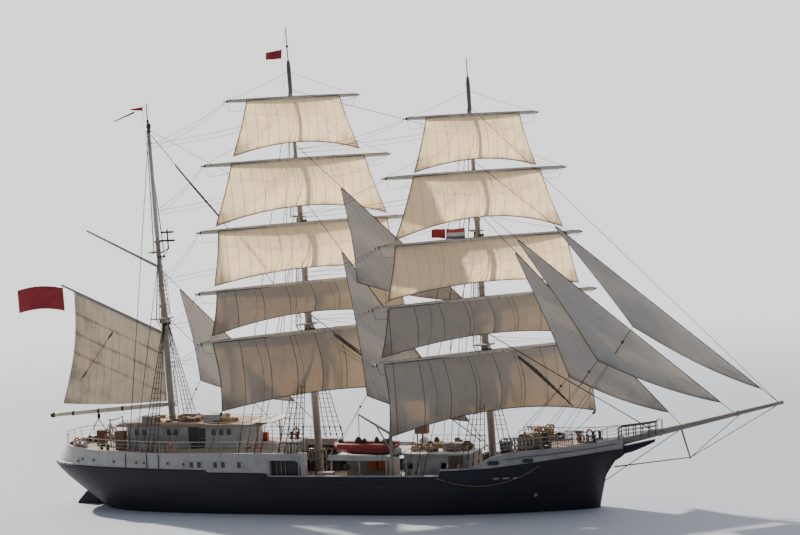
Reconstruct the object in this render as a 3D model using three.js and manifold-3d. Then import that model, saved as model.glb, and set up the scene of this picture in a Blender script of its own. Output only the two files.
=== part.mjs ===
// A three-masted barque under sail, made at half her full size.
// Frame: +X to the bow, +Y to port, +Z up, with the origin amidships on the waterline.
import * as THREE from 'three';
import { mergeVertices } from 'three/addons/utils/BufferGeometryUtils.js';
import Module from 'manifold-3d';

const wasm = await Module();
wasm.setup();

// Lengths below are in full-size metres, and the whole ship is scaled by millimetresPerMetre.
const millimetresPerMetre = 500;
const gap = 0.3 / millimetresPerMetre; // between pieces that touch
const { clamp, degToRad, lerp } = THREE.MathUtils;
const vec = (x, y, z) => new THREE.Vector3(x, y, z);

// Hull: body lines by station, and the edge of the black topsides
const keelZ = -4.6;
const keelHalfWidth = 0.16;
const hullStations = [
  // x, lowest z, half-breadth at the edge, fullness of the section
  [-25.4, 3.5, 0.3, 1.2],
  [-25.2, 3.1, 1.5, 1.3],
  [-24.6, 2.45, 2.6, 1.3],
  [-23.4, 1.5, 3.6, 1.35],
  [-21.5, 0.2, 4.4, 1.5],
  [-18.0, -2.1, 4.95, 1.7],
  [-13.0, -3.3, 5.2, 2.1],
  [-6.0, -4.05, 5.3, 2.6],
  [2.0, -4.2, 5.3, 2.7],
  [9.0, -4.2, 5.15, 2.3],
  [14.0, -4.1, 4.6, 1.85],
  [18.0, -3.8, 3.6, 1.55],
  [21.0, -2.9, 2.35, 1.3],
  [22.5, -0.9, 1.6, 1.15],
  [23.3, 2.6, 1.15, 1.0],
  [24.9, 4.35, 0.5, 1.0],
];
const topsideEdge = [
  // x, z
  [-25.4, 4.02], [-22.0, 4.0], [-17.0, 3.88], [-13.7, 3.79], [-9.8, 3.73], [-9.7, 3.54], [-4.32, 3.48],
  [-4.2, 3.2], [10.5, 3.2], [10.6, 3.67], [14.4, 3.79], [24.9, 4.88],
];
const forecastleTop = [
  // x, z
  [13.0, 3.86], [13.54, 3.98], [14.27, 4.42], [14.95, 4.75], [15.7, 4.9], [17.3, 5.1], [20.7, 5.25],
  [23.0, 5.46], [24.9, 5.78],
];
const mainDeckZ = 2.2;
const bulwark = 0.16;
const waist = { aft: -4.15, fore: 14.91 };
const quarterdeck = { aft: -25.2, fore: -4.2, top: 5.1, inset: 0.06, wingFore: -1.0, wingWidth: 0.8 };
const quarterdeckRim = [[-25.2, 5.6], [-23.0, 5.5], [-21.0, 5.36], [-17.0, 5.2], [-13.7, 5.1], [-1.0, 5.1]];
const sternLean = [[-25.2, 0.85], [-23.4, 0.6], [-21.5, 0.25], [-19.0, 0], [0, 0]]; // rim, forward of the edge
const forecastle = { aft: 14.95, fore: 24.88, inset: 0.05, wingAft: 13.0 };
const rudder = {
  x: -22.3, radius: 0.15, head: 1.5, foot: -4.35, tail: -24.2, sternpost: 0.05,
  bladeTop: [[-22.3, 0.58], [-23.2, 1.18], [-23.45, 0.98], [-24.1, 0.28]],
};
const shaftLine = { y: 1.75, z: -2.85, foreX: -14.5, radius: 0.14, boss: 0.26 };
const shaftArms = [[0.1, -1.4], [2.3, 0.3]];
const propeller = { x: -20.5, radius: 0.95, hub: 0.24, hubLength: 0.5, blades: 4 };

// Beakhead and bowsprit
const beak = {
  half: 0.22, foot: 4.4, top: 5.05,
  under: [[25.6, 4.58], [26.6, 4.98], [27.45, 5.38]], end: [27.45, 5.58], // x, z
};
const bowsprit = { heel: vec(23.7, 0, 5.14), tip: vec(37.9, 0, 8.55), heelRadius: 0.31, tipRadius: 0.15 };
const striker = { top: 29.6, foot: vec(30.3, 0, 4.0), radius: 0.09 };

// Masts. Heights t run up the mast, from where its line meets the waterline.
const mastReferenceZ = 4.8;
const mastSides = 12;
const masts = {
  fore: {
    x: 13.8, rake: 1.66, foot: mainDeckZ, top: 13.5, crosstrees: 23.0, truck: 37.3,
    radii: [
      [0, 0.33], [14.6, 0.31], [14.7, 0.27], [23.9, 0.23], [24.0, 0.19],
      [33.6, 0.12], [33.7, 0.06], [37.3, 0.04],
    ],
  },
  main: {
    x: -1.49, rake: 2.19, foot: mainDeckZ, top: 15.5, crosstrees: 24.7, truck: 40.7,
    radii: [
      [0, 0.33], [16.4, 0.31], [16.5, 0.27], [25.5, 0.23], [25.6, 0.19],
      [35.8, 0.12], [35.9, 0.06], [40.7, 0.04],
    ],
  },
  mizzen: {
    x: -14.74, rake: 2.34, foot: quarterdeck.top, top: 16.2, crosstrees: 22.0, truck: 34.9,
    radii: [
      [0, 0.30], [16.9, 0.28], [17.0, 0.23], [22.8, 0.20], [22.9, 0.16],
      [33.3, 0.10], [33.4, 0.05], [34.9, 0.04],
    ],
  },
};

// Yards and the square sails bent to them, all braced round with the port yardarms forward
const braceAngle = 45.4;
const yardRows = [
  // mast, name, height, half length, radius, half head, half foot, clew height, foot's rise, belly
  ['fore', 'course', 12.85, 10.85, 0.23, 10.0, 9.9, 6.95, 1.25, 1.5],
  ['fore', 'lower_topsail', 17.3, 10.85, 0.21, 9.2, 10.05, 13.4, 1.1, 1.2],
  ['fore', 'upper_topsail', 22.23, 9.85, 0.19, 8.15, 9.1, 17.95, 0.85, 1.3],
  ['fore', 'topgallant', 27.76, 8.75, 0.16, 6.0, 8.0, 22.75, 1.38, 1.2],
  ['fore', 'royal', 32.5, 6.45, 0.13, 4.4, 5.8, 28.1, 0.8, 0.8],
  ['main', 'course', 14.8, 10.5, 0.23, 9.3, 8.9, 9.1, 0.75, 1.4],
  ['main', 'lower_topsail', 18.95, 10.3, 0.21, 8.5, 9.2, 15.4, 1.2, 1.1],
  ['main', 'upper_topsail', 23.98, 9.75, 0.19, 7.9, 8.6, 19.5, 0.85, 1.3],
  ['main', 'topgallant', 29.46, 8.85, 0.16, 6.2, 8.0, 24.45, 1.12, 1.2],
  ['main', 'royal', 34.7, 6.35, 0.13, 4.3, 5.9, 30.1, 0.87, 0.8],
];
const canvas = 0.02; // thickness of a sail
const yardSides = 10; // one of them faces straight ahead
const parrelSpace = 0.1; // between mast and yard

// Stays, each with the triangular sail that it carries: corners as [x, z] near the centreline
const stayRadius = 0.03;
const staysailRows = [
  // name, from mast, far end, head, tack, clew, clew to starboard, belly to starboard
  ['outer_jib', 'fore', 'bowsprit', [19.95, 23.1], [36.2, 9.6], [26.15, 14.85], 1.0, 0.9],
  ['inner_jib', 'fore', 'bowsprit', [16.75, 22.08], [32.95, 8.52], [23.3, 12.2], 1.7, 0.6],
  ['fore_topmast_staysail', 'fore', 'bowsprit', [16.5, 21.05], [28.7, 7.75], [20.65, 10.8], 0.5, 0.5],
  ['main_topgallant_staysail', 'main', 'fore', [1.6, 26.95], [12.0, 17.15], [2.7, 18.95], 0.4, 0.6],
  ['main_topmast_staysail', 'main', 'fore', [1.45, 21.5], [11.9, 7.1], [3.15, 9.35], 0.4, 0.6],
  ['mizzen_topmast_staysail', 'mizzen', 'main', [-13.5, 18.7], [-3.45, 8.9], [-11.95, 10.8], 0.3, 0.5],
];

// Spanker gear on the mizzen mast, swung a little to starboard
// Its sail's corners are [out from the mast, height].
const spankerAngle = 8;
const spanker = {
  goose: 8.75, boomLength: 11.0, boomDrop: 0.3, boomRadius: 0.16,
  throat: 14.95, gaffLength: 9.0, gaffRise: 4.84, gaffRadius: 0.14, lacing: 0.1,
  tack: [0.35, 9.03], clew: [9.75, 9.4], luff: 0.3, peak: 7.9, belly: 0.7,
};
const upperGaff = { jaws: 20.75, length: 6.3, rise: 3.6, radius: 0.12 };
const ensign = { below: 0.2, hoist: 2.0, fly: 4.2, out: 8.9, halyard: 0.02 };

// Deckhouses and deck gear
const wallThickness = 0.1;
const aftHouse = { aft: -18.0, fore: -7.5, half: 2.6, floor: quarterdeck.top, top: 7.1 };
const aftRoof = { aft: -18.9, fore: -5.75, half: 2.95, top: 7.28, post: 0.08 };
const foreHouse = { aft: 6.9, fore: 12.2, half: 2.7, floor: mainDeckZ, top: 4.66 };
const foreRoof = { aft: 6.75, fore: 12.7, half: 2.95, top: 4.8 };
const door = { width: 0.9, height: 1.8, sill: 0.12, thickness: 0.06, lap: 0.06 };
const boatDeck = { aft: 0.7, fore: 6.0, half: 4.2, bottom: 4.4, top: 4.55, post: 0.12 };
const boat = {
  bow: 0.95, length: 5.4, y: -3.05, keel: 4.72, tube: 0.27, half: 0.8, side: 0.85, clear: 0.012,
};
const davit = { x: 6.4, y: -4.5, height: 6.8, radius: 0.14, head: vec(3.2, -3.05, 8.1) };
const helm = { x: -20.9, hubZ: 6.25, radius: 0.8, spokes: 8 };
const windlass = { x: 16.9, half: 1.1, radius: 0.42 };

// Paints
function paint(color, roughness, metalness = 0) {
  return new THREE.MeshStandardMaterial({ color, roughness, metalness });
}
const hullBlack = paint(0x14161f, 0.35);
const topsideWhite = paint(0xd9d9d4, 0.5);
const mastBuff = paint(0xb98a52, 0.5);
const yardGrey = paint(0xb9b6a8, 0.5);
const sailCloth = paint(0xe3dcc8, 0.9);
const deckWood = paint(0xa98a62, 0.8);
const wireGrey = paint(0x4a4a48, 0.6, 0.5);
const bronze = paint(0xa77a3c, 0.35, 1);
const tubeRed = paint(0xb5332b, 0.6);
const flagRed = paint(0xa3202a, 0.9);
const varnish = paint(0x7a4a26, 0.4);

const ship = new THREE.Group();
ship.scale.setScalar(millimetresPerMetre);

// Solids from closed geometries
function solid(geometry) {
  const bare = new THREE.BufferGeometry();
  bare.setAttribute('position', geometry.getAttribute('position'));
  if (geometry.index) bare.setIndex(geometry.index);
  const merged = mergeVertices(bare, 1e-5);
  const vertProperties = new Float32Array(merged.attributes.position.array);
  const triVerts = new Uint32Array(merged.index.array);
  return new wasm.Manifold(new wasm.Mesh({ numProp: 3, vertProperties, triVerts }));
}

const join = (...solids) => solids.reduce((sum, next) => sum.add(next));

// One named piece of the ship
function addPiece(name, body, material, parent = ship) {
  const { numProp, numVert, vertProperties, triVerts } = body.getMesh();
  const positions = new Float32Array(numVert * 3);
  for (let i = 0; i < numVert; i++) {
    positions.set(vertProperties.subarray(i * numProp, i * numProp + 3), i * 3);
  }
  const geometry = new THREE.BufferGeometry();
  geometry.setAttribute('position', new THREE.BufferAttribute(positions, 3));
  geometry.setIndex(new THREE.BufferAttribute(new Uint32Array(triVerts), 1));
  geometry.computeVertexNormals();
  const mesh = new THREE.Mesh(geometry, material);
  mesh.name = name;
  parent.add(mesh);
}

// Solid of indexed faces, turned so that they point outwards
function faceted(points, faces) {
  let volume = 0;
  for (const [a, b, c] of faces) volume += points[a].dot(vec(0, 0, 0).crossVectors(points[b], points[c]));
  const geometry = new THREE.BufferGeometry().setFromPoints(points);
  geometry.setIndex(faces.flatMap(([a, b, c]) => (volume > 0 ? [a, b, c] : [a, c, b])));
  return solid(geometry);
}

// Closed skin over rings that all have the same number of points, capped at both ends
function loft(rings) {
  const count = rings[0].length;
  const points = rings.flat();
  const faces = [];
  for (let r = 0; r + 1 < rings.length; r++)
    for (let i = 0; i < count; i++) {
      const a = r * count + i;
      const b = r * count + ((i + 1) % count);
      faces.push([a, b, b + count], [a, b + count, a + count]);
    }
  for (const [ring, first, turned] of [[rings[0], 0, true], [rings.at(-1), points.length - count, false]]) {
    const middle = ring.reduce((sum, p) => sum.add(p), vec(0, 0, 0)).divideScalar(count);
    const m = points.push(middle) - 1;
    for (let i = 0; i < count; i++) {
      const a = first + i;
      const b = first + ((i + 1) % count);
      faces.push(turned ? [b, a, m] : [a, b, m]);
    }
  }
  return faceted(points, faces);
}

// Thin sheet over a grid: place(u, v) gives a point for u across and v down, both from 0 to 1
function sheet(across, down, place, thickness) {
  const step = 1e-3;
  const sides = [[], []];
  for (let j = 0; j <= down; j++)
    for (let i = 0; i <= across; i++) {
      const u = i / across;
      const v = j / down;
      const alongU = place(Math.min(u + step, 1), v).sub(place(Math.max(u - step, 0), v));
      const alongV = place(u, Math.min(v + step, 1)).sub(place(u, Math.max(v - step, 0)));
      const normal = alongU.cross(alongV).normalize();
      sides[0].push(place(u, v).addScaledVector(normal, thickness / 2));
      sides[1].push(place(u, v).addScaledVector(normal, -thickness / 2));
    }
  const points = sides.flat();
  const back = sides[0].length;
  const faces = [];
  const row = across + 1;
  for (let j = 0; j < down; j++)
    for (let i = 0; i < across; i++) {
      const a = j * row + i;
      const b = back + a;
      faces.push([a, a + row, a + row + 1], [a, a + row + 1, a + 1]);
      faces.push([b, b + row + 1, b + row], [b, b + 1, b + row + 1]);
    }
  const rim = [];
  for (let i = 0; i < across; i++) rim.push(i);
  for (let j = 0; j < down; j++) rim.push(j * row + across);
  for (let i = across; i > 0; i--) rim.push(down * row + i);
  for (let j = down; j > 0; j--) rim.push(j * row);
  rim.forEach((a, i) => {
    const b = rim[(i + 1) % rim.length];
    faces.push([a, b, back + b], [a, back + b, back + a]);
  });
  return faceted(points, faces);
}

function box(low, high) {
  const size = high.clone().sub(low);
  const geometry = new THREE.BoxGeometry(size.x, size.y, size.z);
  geometry.translate((low.x + high.x) / 2, (low.y + high.y) / 2, (low.z + high.z) / 2);
  return solid(geometry);
}

// Round bar between two points, tapered from radius a to radius b
function bar(from, to, a, b = a, sides = 10) {
  const way = to.clone().sub(from);
  const turn = new THREE.Quaternion().setFromUnitVectors(vec(0, 1, 0), way.clone().normalize());
  const place = new THREE.Matrix4().compose(from.clone().lerp(to, 0.5), turn, vec(1, 1, 1));
  return solid(new THREE.CylinderGeometry(b, a, way.length(), sides)).transform(place.elements);
}

// Solid turned round the z axis from a profile of [radius, z] that starts and ends on the axis
function turned(profile, sides, firstAngle = 0) {
  const points = profile.map(([r, z]) => new THREE.Vector2(r, z));
  const geometry = new THREE.LatheGeometry(points, sides, firstAngle);
  geometry.rotateX(Math.PI / 2);
  return solid(geometry);
}

// Plate of an outline of [x, z] points, between two values of y
function plate(outline, low, high) {
  const shape = new THREE.Shape(outline.map(([x, z]) => new THREE.Vector2(x, z)));
  const geometry = new THREE.ExtrudeGeometry(shape, { depth: high - low, bevelEnabled: false });
  geometry.rotateX(Math.PI / 2);
  geometry.translate(0, high, 0);
  return solid(geometry);
}

// Value at x on a line of [x, value] points
function along(line, x) {
  const i = Math.min(Math.max(line.findIndex(([end]) => end >= x), 1), line.length - 1);
  const [[x0, v0], [x1, v1]] = [line[i - 1], line[i]];
  return lerp(v0, v1, clamp((x - x0) / (x1 - x0), 0, 1));
}

// Hull body lines, smooth between stations: lowest z, half-breadth and fullness
const bodyLines = new THREE.CubicInterpolant(
  hullStations.map(([x]) => x), hullStations.flatMap(([, ...values]) => values), 3,
);
function station(x) {
  const [bottom, half, fullness] = bodyLines.evaluate(x);
  return { bottom, half, fullness };
}
const halfAt = (x) => station(x).half;

// Half-breadth of the hull at x and z
function hullHalf(x, z) {
  const { bottom, half, fullness } = station(x);
  const t = clamp((z - bottom) / (along(topsideEdge, x) - bottom), 0, 1);
  return keelHalfWidth + (half - keelHalfWidth) * (1 - (1 - t) ** fullness) ** (1 / fullness);
}

// Ring of a section: up the starboard side from the keel, across the top, and down the port side
function hullRing(x) {
  const steps = 8;
  const bottom = station(x).bottom;
  const top = along(topsideEdge, x);
  const side = Array.from({ length: steps + 1 }, (_, i) => {
    const z = bottom + (top - bottom) * (i / steps) ** 1.4;
    return vec(x, hullHalf(x, z), z);
  });
  return [...side.map(({ y, z }) => vec(x, -y, z)), ...side.toReversed()];
}

// Ring of a block that follows the hull's side in plan
function planRing(x, low, high, inset) {
  const half = halfAt(x) - inset;
  return [vec(x, -half, low), vec(x, -half, high), vec(x, half, high), vec(x, half, low)];
}

// Stations between two ends, with one at each step of the topside's edge
function stationsBetween(aft, fore) {
  const between = hullStations.slice(1).map(([x], i) => (x + hullStations[i][0]) / 2);
  const all = [...hullStations.map(([x]) => x), ...between, ...topsideEdge.map(([x]) => x)];
  const inside = all.filter((x) => x > aft + 0.03 && x < fore - 0.03).sort((a, b) => a - b);
  return [aft, ...inside.filter((x, i) => i === 0 || x - inside[i - 1] > 0.03), fore];
}

// Bowsprit as a bar, grown all round by a clearance
function spritBar(grown = 0) {
  const { heel, tip, heelRadius, tipRadius } = bowsprit;
  const more = tip.clone().sub(heel).setLength(grown);
  return bar(heel.clone().sub(more), tip.clone().add(more), heelRadius + grown, tipRadius + grown, 12);
}
const spritAt = (x) => {
  const t = (x - bowsprit.heel.x) / (bowsprit.tip.x - bowsprit.heel.x);
  return bowsprit.heel.clone().lerp(bowsprit.tip, t);
};

// Black hull with its waist cut down to the main deck, the bar keel with the rudder's sole, and the shafts
function makeHull() {
  const { foreX, y, z, radius, boss } = shaftLine;
  const aftX = propeller.x + propeller.hubLength / 2 + gap;
  let hull = loft(stationsBetween(hullStations[0][0], forecastle.fore + 0.02).map(hullRing));
  const well = [waist.aft, -1, 3, 6, 9, 11.5, 13.4, waist.fore];
  hull = hull.subtract(loft(well.map((x) => planRing(x, mainDeckZ, 6, bulwark))));
  const post = rudder.x + rudder.radius + rudder.sternpost;
  const sole = rudder.foot - gap;
  const keel = [
    [rudder.x - 0.3, keelZ], [19.2, keelZ], [21.2, -3.4], [21.2, -2.4], [-18, -1.2],
    [post, 1.1], [post, sole], [rudder.x - 0.3, sole],
  ];
  hull = hull.add(plate(keel, -keelHalfWidth, keelHalfWidth));
  for (const side of [-1, 1]) {
    const line = bar(vec(foreX, side * y, z), vec(aftX, side * y, z), radius);
    const barrel = bar(vec(aftX + 0.7, side * y, z), vec(aftX, side * y, z), boss);
    const arms = shaftArms.map(([armY, armZ]) =>
      bar(vec(aftX + 0.35, side * y, z), vec(aftX + 0.35, side * armY, armZ), 0.07, 0.07, 6));
    hull = join(hull, line, barrel, ...arms);
  }
  const bore = (rudder.radius + gap) / Math.cos(Math.PI / 12);
  const rudderPort = bar(vec(rudder.x, 0, sole), vec(rudder.x, 0, rudder.head + gap), bore, bore, 12);
  return hull.subtract(spritBar(gap)).subtract(rudderPort);
}

// Ring of the quarterdeck's side, which leans in towards the rim of the stern
function quarterdeckRing(x) {
  const low = along(topsideEdge, x) + gap;
  const high = along(quarterdeckRim, x);
  const half = halfAt(x) - quarterdeck.inset;
  const rimX = x + along(sternLean, x);
  return [vec(x, -half, low), vec(rimX, -half, high), vec(rimX, half, high), vec(x, half, low)];
}

// White quarterdeck, with a rim round the stern, and a wing on each side that ends in a round arch
function makeQuarterdeck() {
  const { aft, fore, top, inset, wingFore, wingWidth } = quarterdeck;
  const block = (from, to) => loft(stationsBetween(from, to).map(quarterdeckRing));
  const well = loft([-24.1, -23.6, -23, -22, -21, -19.5, -17, -13.7].map((x) => {
    const half = halfAt(x - along(sternLean, x)) - inset - bulwark;
    return [vec(x, -half, top), vec(x, -half, 7), vec(x, half, 7), vec(x, half, top)];
  }));
  const arch = new THREE.Shape();
  arch.moveTo(fore + 0.15, 2).lineTo(fore + 0.15, top - 0.55).lineTo(wingFore - 1.0, top - 0.55);
  arch.absarc(wingFore - 1.0, top - 1.25, 0.7, Math.PI / 2, 0, true).lineTo(wingFore - 0.3, 2);
  const opening = plate(arch.getPoints(4).map(({ x, y }) => [x, y]), -7, 7);
  const within = box(vec(fore, wingWidth - 5.2, 0), vec(1, 5.2 - wingWidth, 9));
  const wings = block(fore - 0.12, wingFore).subtract(within).subtract(opening);
  return join(block(aft, fore).subtract(well), wings);
}

// White forecastle, with a wing on each side that slopes down to the waist's bulwark
function makeForecastle() {
  const { aft, fore, inset, wingAft } = forecastle;
  const ring = (x) => planRing(x, along(topsideEdge, x) + gap, along(forecastleTop, x), inset);
  const within = loft([wingAft - 1, aft].map((x) => planRing(x, mainDeckZ, 6, bulwark)));
  const wings = loft([wingAft, 13.54, 14.27, 14.6, aft + 0.1].map(ring)).subtract(within);
  return join(loft(stationsBetween(aft, fore).map(ring)), wings).subtract(spritBar(gap));
}

// Knee of the head with its platform
function makeBeakhead() {
  const { half, foot, top, under, end } = beak;
  const root = 24.9 + gap;
  const knee = plate([[root, foot], ...under, end, [root, top]], -half, half);
  const deck = loft([0, 0.5, 1].map((t) => {
    const [x, y, z] = [lerp(root, end[0], t), lerp(0.5, 0.34, t), lerp(top, end[1], t)];
    return [vec(x, -y, z - 0.1), vec(x, -y, z), vec(x, y, z), vec(x, y, z - 0.1)];
  }));
  return knee.add(deck).subtract(spritBar(gap));
}

// Bowsprit with its cap bands and the dolphin striker
function makeBowsprit() {
  const { top, foot, radius } = striker;
  const strut = bar(spritAt(top), foot, radius, radius * 0.7, 8);
  const bands = [27.9, 34.2].map((x) => {
    const r = 0.24 + (34.2 - x) * 0.012;
    return bar(spritAt(x - 0.1), spritAt(x + 0.1), r, r, 12);
  });
  return join(spritBar(), strut, ...bands);
}

// Local frame of a mast: x ahead, y to port and z up the mast, with z as the height t
function mastFrame({ x, rake }) {
  const frame = new THREE.Group();
  const tilt = degToRad(rake);
  frame.position.set(x + mastReferenceZ * Math.sin(tilt), 0, mastReferenceZ * (1 - Math.cos(tilt)));
  frame.rotation.y = -tilt;
  ship.add(frame);
  frame.updateMatrixWorld(true);
  return frame;
}

const mastRadius = (mast, t) => along(mast.radii, t);

// Mast with its two caps, in its own frame, grown all round by a clearance
function mastPole(mast, grown = 0) {
  const foot = mast.foot - grown;
  const above = mast.radii.filter(([t]) => t > foot).map(([t, r]) => [r + grown, t]);
  const profile = [[0, foot], [mastRadius(mast, foot) + grown, foot], ...above];
  const caps = [mast.top + 1.1, mast.crosstrees + 0.95].map((t) => {
    const r = mastRadius(mast, t - 0.2) + 0.08 + grown;
    const [low, high] = [t - 0.15 - grown, t + 0.1 + grown];
    return turned([[0, low], [r, low], [r, high], [0, high]], mastSides);
  });
  return join(turned([...profile, [0, mast.truck + grown]], mastSides), ...caps);
}

// The same in the ship's frame, for cutting what meets the mast
const placed = (body, frame) => body.transform(shipMatrix(frame).elements);
function shipMatrix(frame) {
  return new THREE.Matrix4().compose(frame.position, frame.quaternion, vec(1, 1, 1));
}

// Mast with its lower top and crosstrees, its foot cut level on the deck
function makeMast(mast, frame) {
  const { top, crosstrees } = mast;
  const platform = loft([top, top + 0.1].map((t) => {
    const outline = [[0.75, 0.45], [0.45, 0.95], [-0.2, 1.25], [-0.75, 1.25]];
    const port = outline.map(([x, y]) => vec(x, y, t));
    return [...port, ...port.toReversed().map(({ x, y }) => vec(x, -y, t))];
  }));
  const cheeks = box(vec(-0.28, -0.45, top - 0.35), vec(0.3, 0.45, top + 0.01));
  const spreaders = box(vec(-0.5, -1.1, crosstrees), vec(-0.38, 1.1, crosstrees + 0.1));
  const trees = [-0.3, 0.2].map((y) =>
    box(vec(-0.55, y, crosstrees - 0.08), vec(0.45, y + 0.1, crosstrees + 0.02)));
  const whole = join(mastPole(mast), platform, cheeks, spreaders, ...trees);
  const deck = box(vec(-40, -9, -9), vec(40, 9, mast.foot + gap));
  return whole.subtract(deck.transform(shipMatrix(frame).invert().elements));
}

// Collar round a mast, its flats 0.3 mm off the mast's edges
function collar(mast, t, half, wall = 0.06) {
  const inner = (mastRadius(mast, t - half) + gap) / Math.cos(Math.PI / mastSides);
  const drum = (radius, up) => turned(
    [[0, t - up], [radius, t - up], [radius, t + up], [0, t + up]], mastSides, Math.PI / mastSides,
  );
  return { ring: drum(inner + wall, half), hole: drum(inner, 1) };
}

// Yard: a spar tapered to its arms, with its parrel round the mast
function makeYard(mast, height, half, radius) {
  const ahead = yardAhead(mast, height, radius);
  const taper = [[0, -1], [0.45, -1], [0.8, -0.72], [1, -0.35], [1, 0.35], [0.8, 0.72], [0.45, 1], [0, 1]];
  const spar = turned(taper.map(([r, s]) => [r * radius, s * half]), yardSides)
    .rotate([-90, 0, 0])
    .translate([ahead, 0, height]);
  const turn = [0, 0, -braceAngle];
  const { ring, hole } = collar(mast, height, 0.14);
  const arm = box(vec(0, -0.14, height - 0.12), vec(ahead, 0.14, height + 0.12));
  return join(ring, arm.rotate(turn), spar.rotate(turn)).subtract(hole);
}
const yardAhead = (mast, height, radius) => mastRadius(mast, height) + parrelSpace + radius;

// Square sail: straight head, hollow leeches, arched foot, and a belly ahead of the yard
function makeSquareSail(mast, row) {
  const [, , height, , radius, halfHead, halfFoot, clew, rise, belly] = row;
  const flatAhead = yardAhead(mast, height, radius) + radius * Math.cos(Math.PI / yardSides);
  const headAhead = flatAhead + gap + canvas / 2;
  const footAhead = headAhead - 0.1;
  const place = (u, v) => {
    const s = 2 * u - 1;
    const middle = 1 - s * s;
    const spread = lerp(halfHead, halfFoot, v) - 0.35 * Math.sin(Math.PI * v);
    const depth = middle ** 0.8 * Math.sin(Math.PI * (0.08 + 0.72 * v)) - 0.25 * (1 - v) * middle;
    const ahead = lerp(headAhead, footAhead, v) + belly * Math.max(depth, 0);
    return vec(ahead, s * spread, lerp(height + 0.03, clew + rise * middle, v));
  };
  return sheet(10, 6, place, canvas).rotate([0, 0, -braceAngle]);
}

// Stay from a mast to the bowsprit or to the next mast, cut clear of both, and the sail hanked to it
function makeStay(mastName, farEnd, head, tack) {
  const slope = (head[1] - tack[1]) / (head[0] - tack[0]);
  const line = (x) => vec(x, 0, head[1] + (x - head[0]) * slope);
  const ends = [sparOf(mastName), sparOf(farEnd)];
  const [from, to] = ends.map(({ point, way }) =>
    line((head[1] - point.z - head[0] * slope + (point.x * way.z) / way.x) / (way.z / way.x - slope)));
  const stay = bar(from, to, stayRadius, stayRadius, 6);
  const grown = bar(from, to, stayRadius + gap, stayRadius + gap, 6);
  return { stay: ends.reduce((rest, end) => rest.subtract(end.grown), stay), grown, line, slope };
}

// Centreline of a mast or the bowsprit, and its solid grown by the gap
function sparOf(name) {
  if (name === 'bowsprit')
    return { point: bowsprit.heel, way: bowsprit.tip.clone().sub(bowsprit.heel), grown: spritBar(gap) };
  const matrix = shipMatrix(frames[name]);
  const foot = vec(0, 0, 0).applyMatrix4(matrix);
  const way = vec(0, 0, 1).applyMatrix4(matrix).sub(foot);
  return { point: foot, way, grown: placed(mastPole(masts[name], gap), frames[name]) };
}

// Three-cornered sail behind its stay: round foot, hollow leech, belly to starboard
function makeStaysail({ grown, line, slope }, head, tack, clew, clewOut, belly) {
  const below = vec(slope, 0, -1).normalize().multiplyScalar(stayRadius * 0.6);
  const luff = (x) => line(x).add(below);
  const headPoint = luff(head[0]);
  const tackPoint = luff(tack[0]);
  const clewPoint = vec(clew[0], -clewOut, clew[1]);
  const place = (u, v) => {
    const aft = headPoint.clone().lerp(clewPoint, v);
    aft.addScaledVector(tackPoint.clone().sub(aft).normalize(), 0.25 * Math.sin(Math.PI * v));
    const fore = headPoint.clone().lerp(tackPoint, v);
    const width = fore.clone().sub(aft).length();
    const headBoard = 0.12 * (1 - v);
    const point = fore.lerp(aft, u);
    point.x -= headBoard * u;
    point.z -= 0.25 * v * v * Math.sin(Math.PI * u) + headBoard * u * 0.2;
    point.y -= belly * Math.sin(Math.PI * u ** 0.8) * Math.min(width / 6, 1) * (0.35 + 0.65 * v);
    return point;
  };
  return sheet(6, 8, place, canvas).subtract(grown);
}

// Boom, gaff with the ensign's halyard, and the spanker between them, swung together
function makeSpankerGear() {
  const mast = masts.mizzen;
  const { goose, boomLength, boomDrop, boomRadius, throat, gaffLength, gaffRise, gaffRadius } = spanker;
  const turn = [0, 0, spankerAngle];
  const boomCollar = collar(mast, goose, 0.16);
  const boomEnd = vec(-boomLength, 0, goose - boomDrop);
  const boomSpar = bar(vec(-0.2, 0, goose), boomEnd, boomRadius, boomRadius * 0.6);
  const gaffCollar = collar(mast, throat, 0.16);
  const grownCollar = collar(mast, throat, 0.16 + gap, 0.06 + gap).ring;
  const gaffPeak = vec(-gaffLength, 0, throat + gaffRise);
  const gaffBar = (grown) =>
    bar(vec(-0.2, 0, throat), gaffPeak, gaffRadius + grown, gaffRadius * 0.6 + grown);
  const { luff, peak: peakOut, tack, clew, lacing } = spanker;
  const slope = gaffRise / (gaffLength - 0.2);
  const [head, peak] = [luff, peakOut].map((out) => [out, throat + slope * (out - 0.2) - lacing]);
  const place = (u, v) => {
    const mix = (a, b, t) => [lerp(a[0], b[0], t), lerp(a[1], b[1], t)];
    const [out, z] = mix(mix(head, peak, u), mix(tack, clew, u), v);
    const belly = spanker.belly * Math.sin(Math.PI * u ** 0.8) * Math.sin(Math.PI * 0.8 * v);
    return vec(-out, belly, z - 0.2 * v * Math.sin(Math.PI * u));
  };
  const { out, below, hoist, halyard } = ensign;
  const peakZ = throat + gaffRise * (out / gaffLength);
  const line = bar(vec(-out, 0, peakZ), vec(-out, 0, peakZ - below - hoist - 0.1), halyard, halyard, 6);
  return {
    boom: boomCollar.ring.add(boomSpar.rotate(turn)).subtract(boomCollar.hole),
    gaff: join(gaffCollar.ring, gaffBar(0).rotate(turn), line.rotate(turn)).subtract(gaffCollar.hole),
    sail: sheet(8, 6, place, canvas).subtract(gaffBar(gap)).rotate(turn).subtract(grownCollar),
  };
}

function makeUpperGaff() {
  const { jaws, length, rise, radius } = upperGaff;
  const { ring, hole } = collar(masts.mizzen, jaws, 0.14);
  const spar = bar(vec(-0.15, 0, jaws), vec(-length, 0, jaws + rise), radius, radius * 0.6);
  return ring.add(spar.rotate([0, 0, spankerAngle])).subtract(hole);
}

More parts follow.
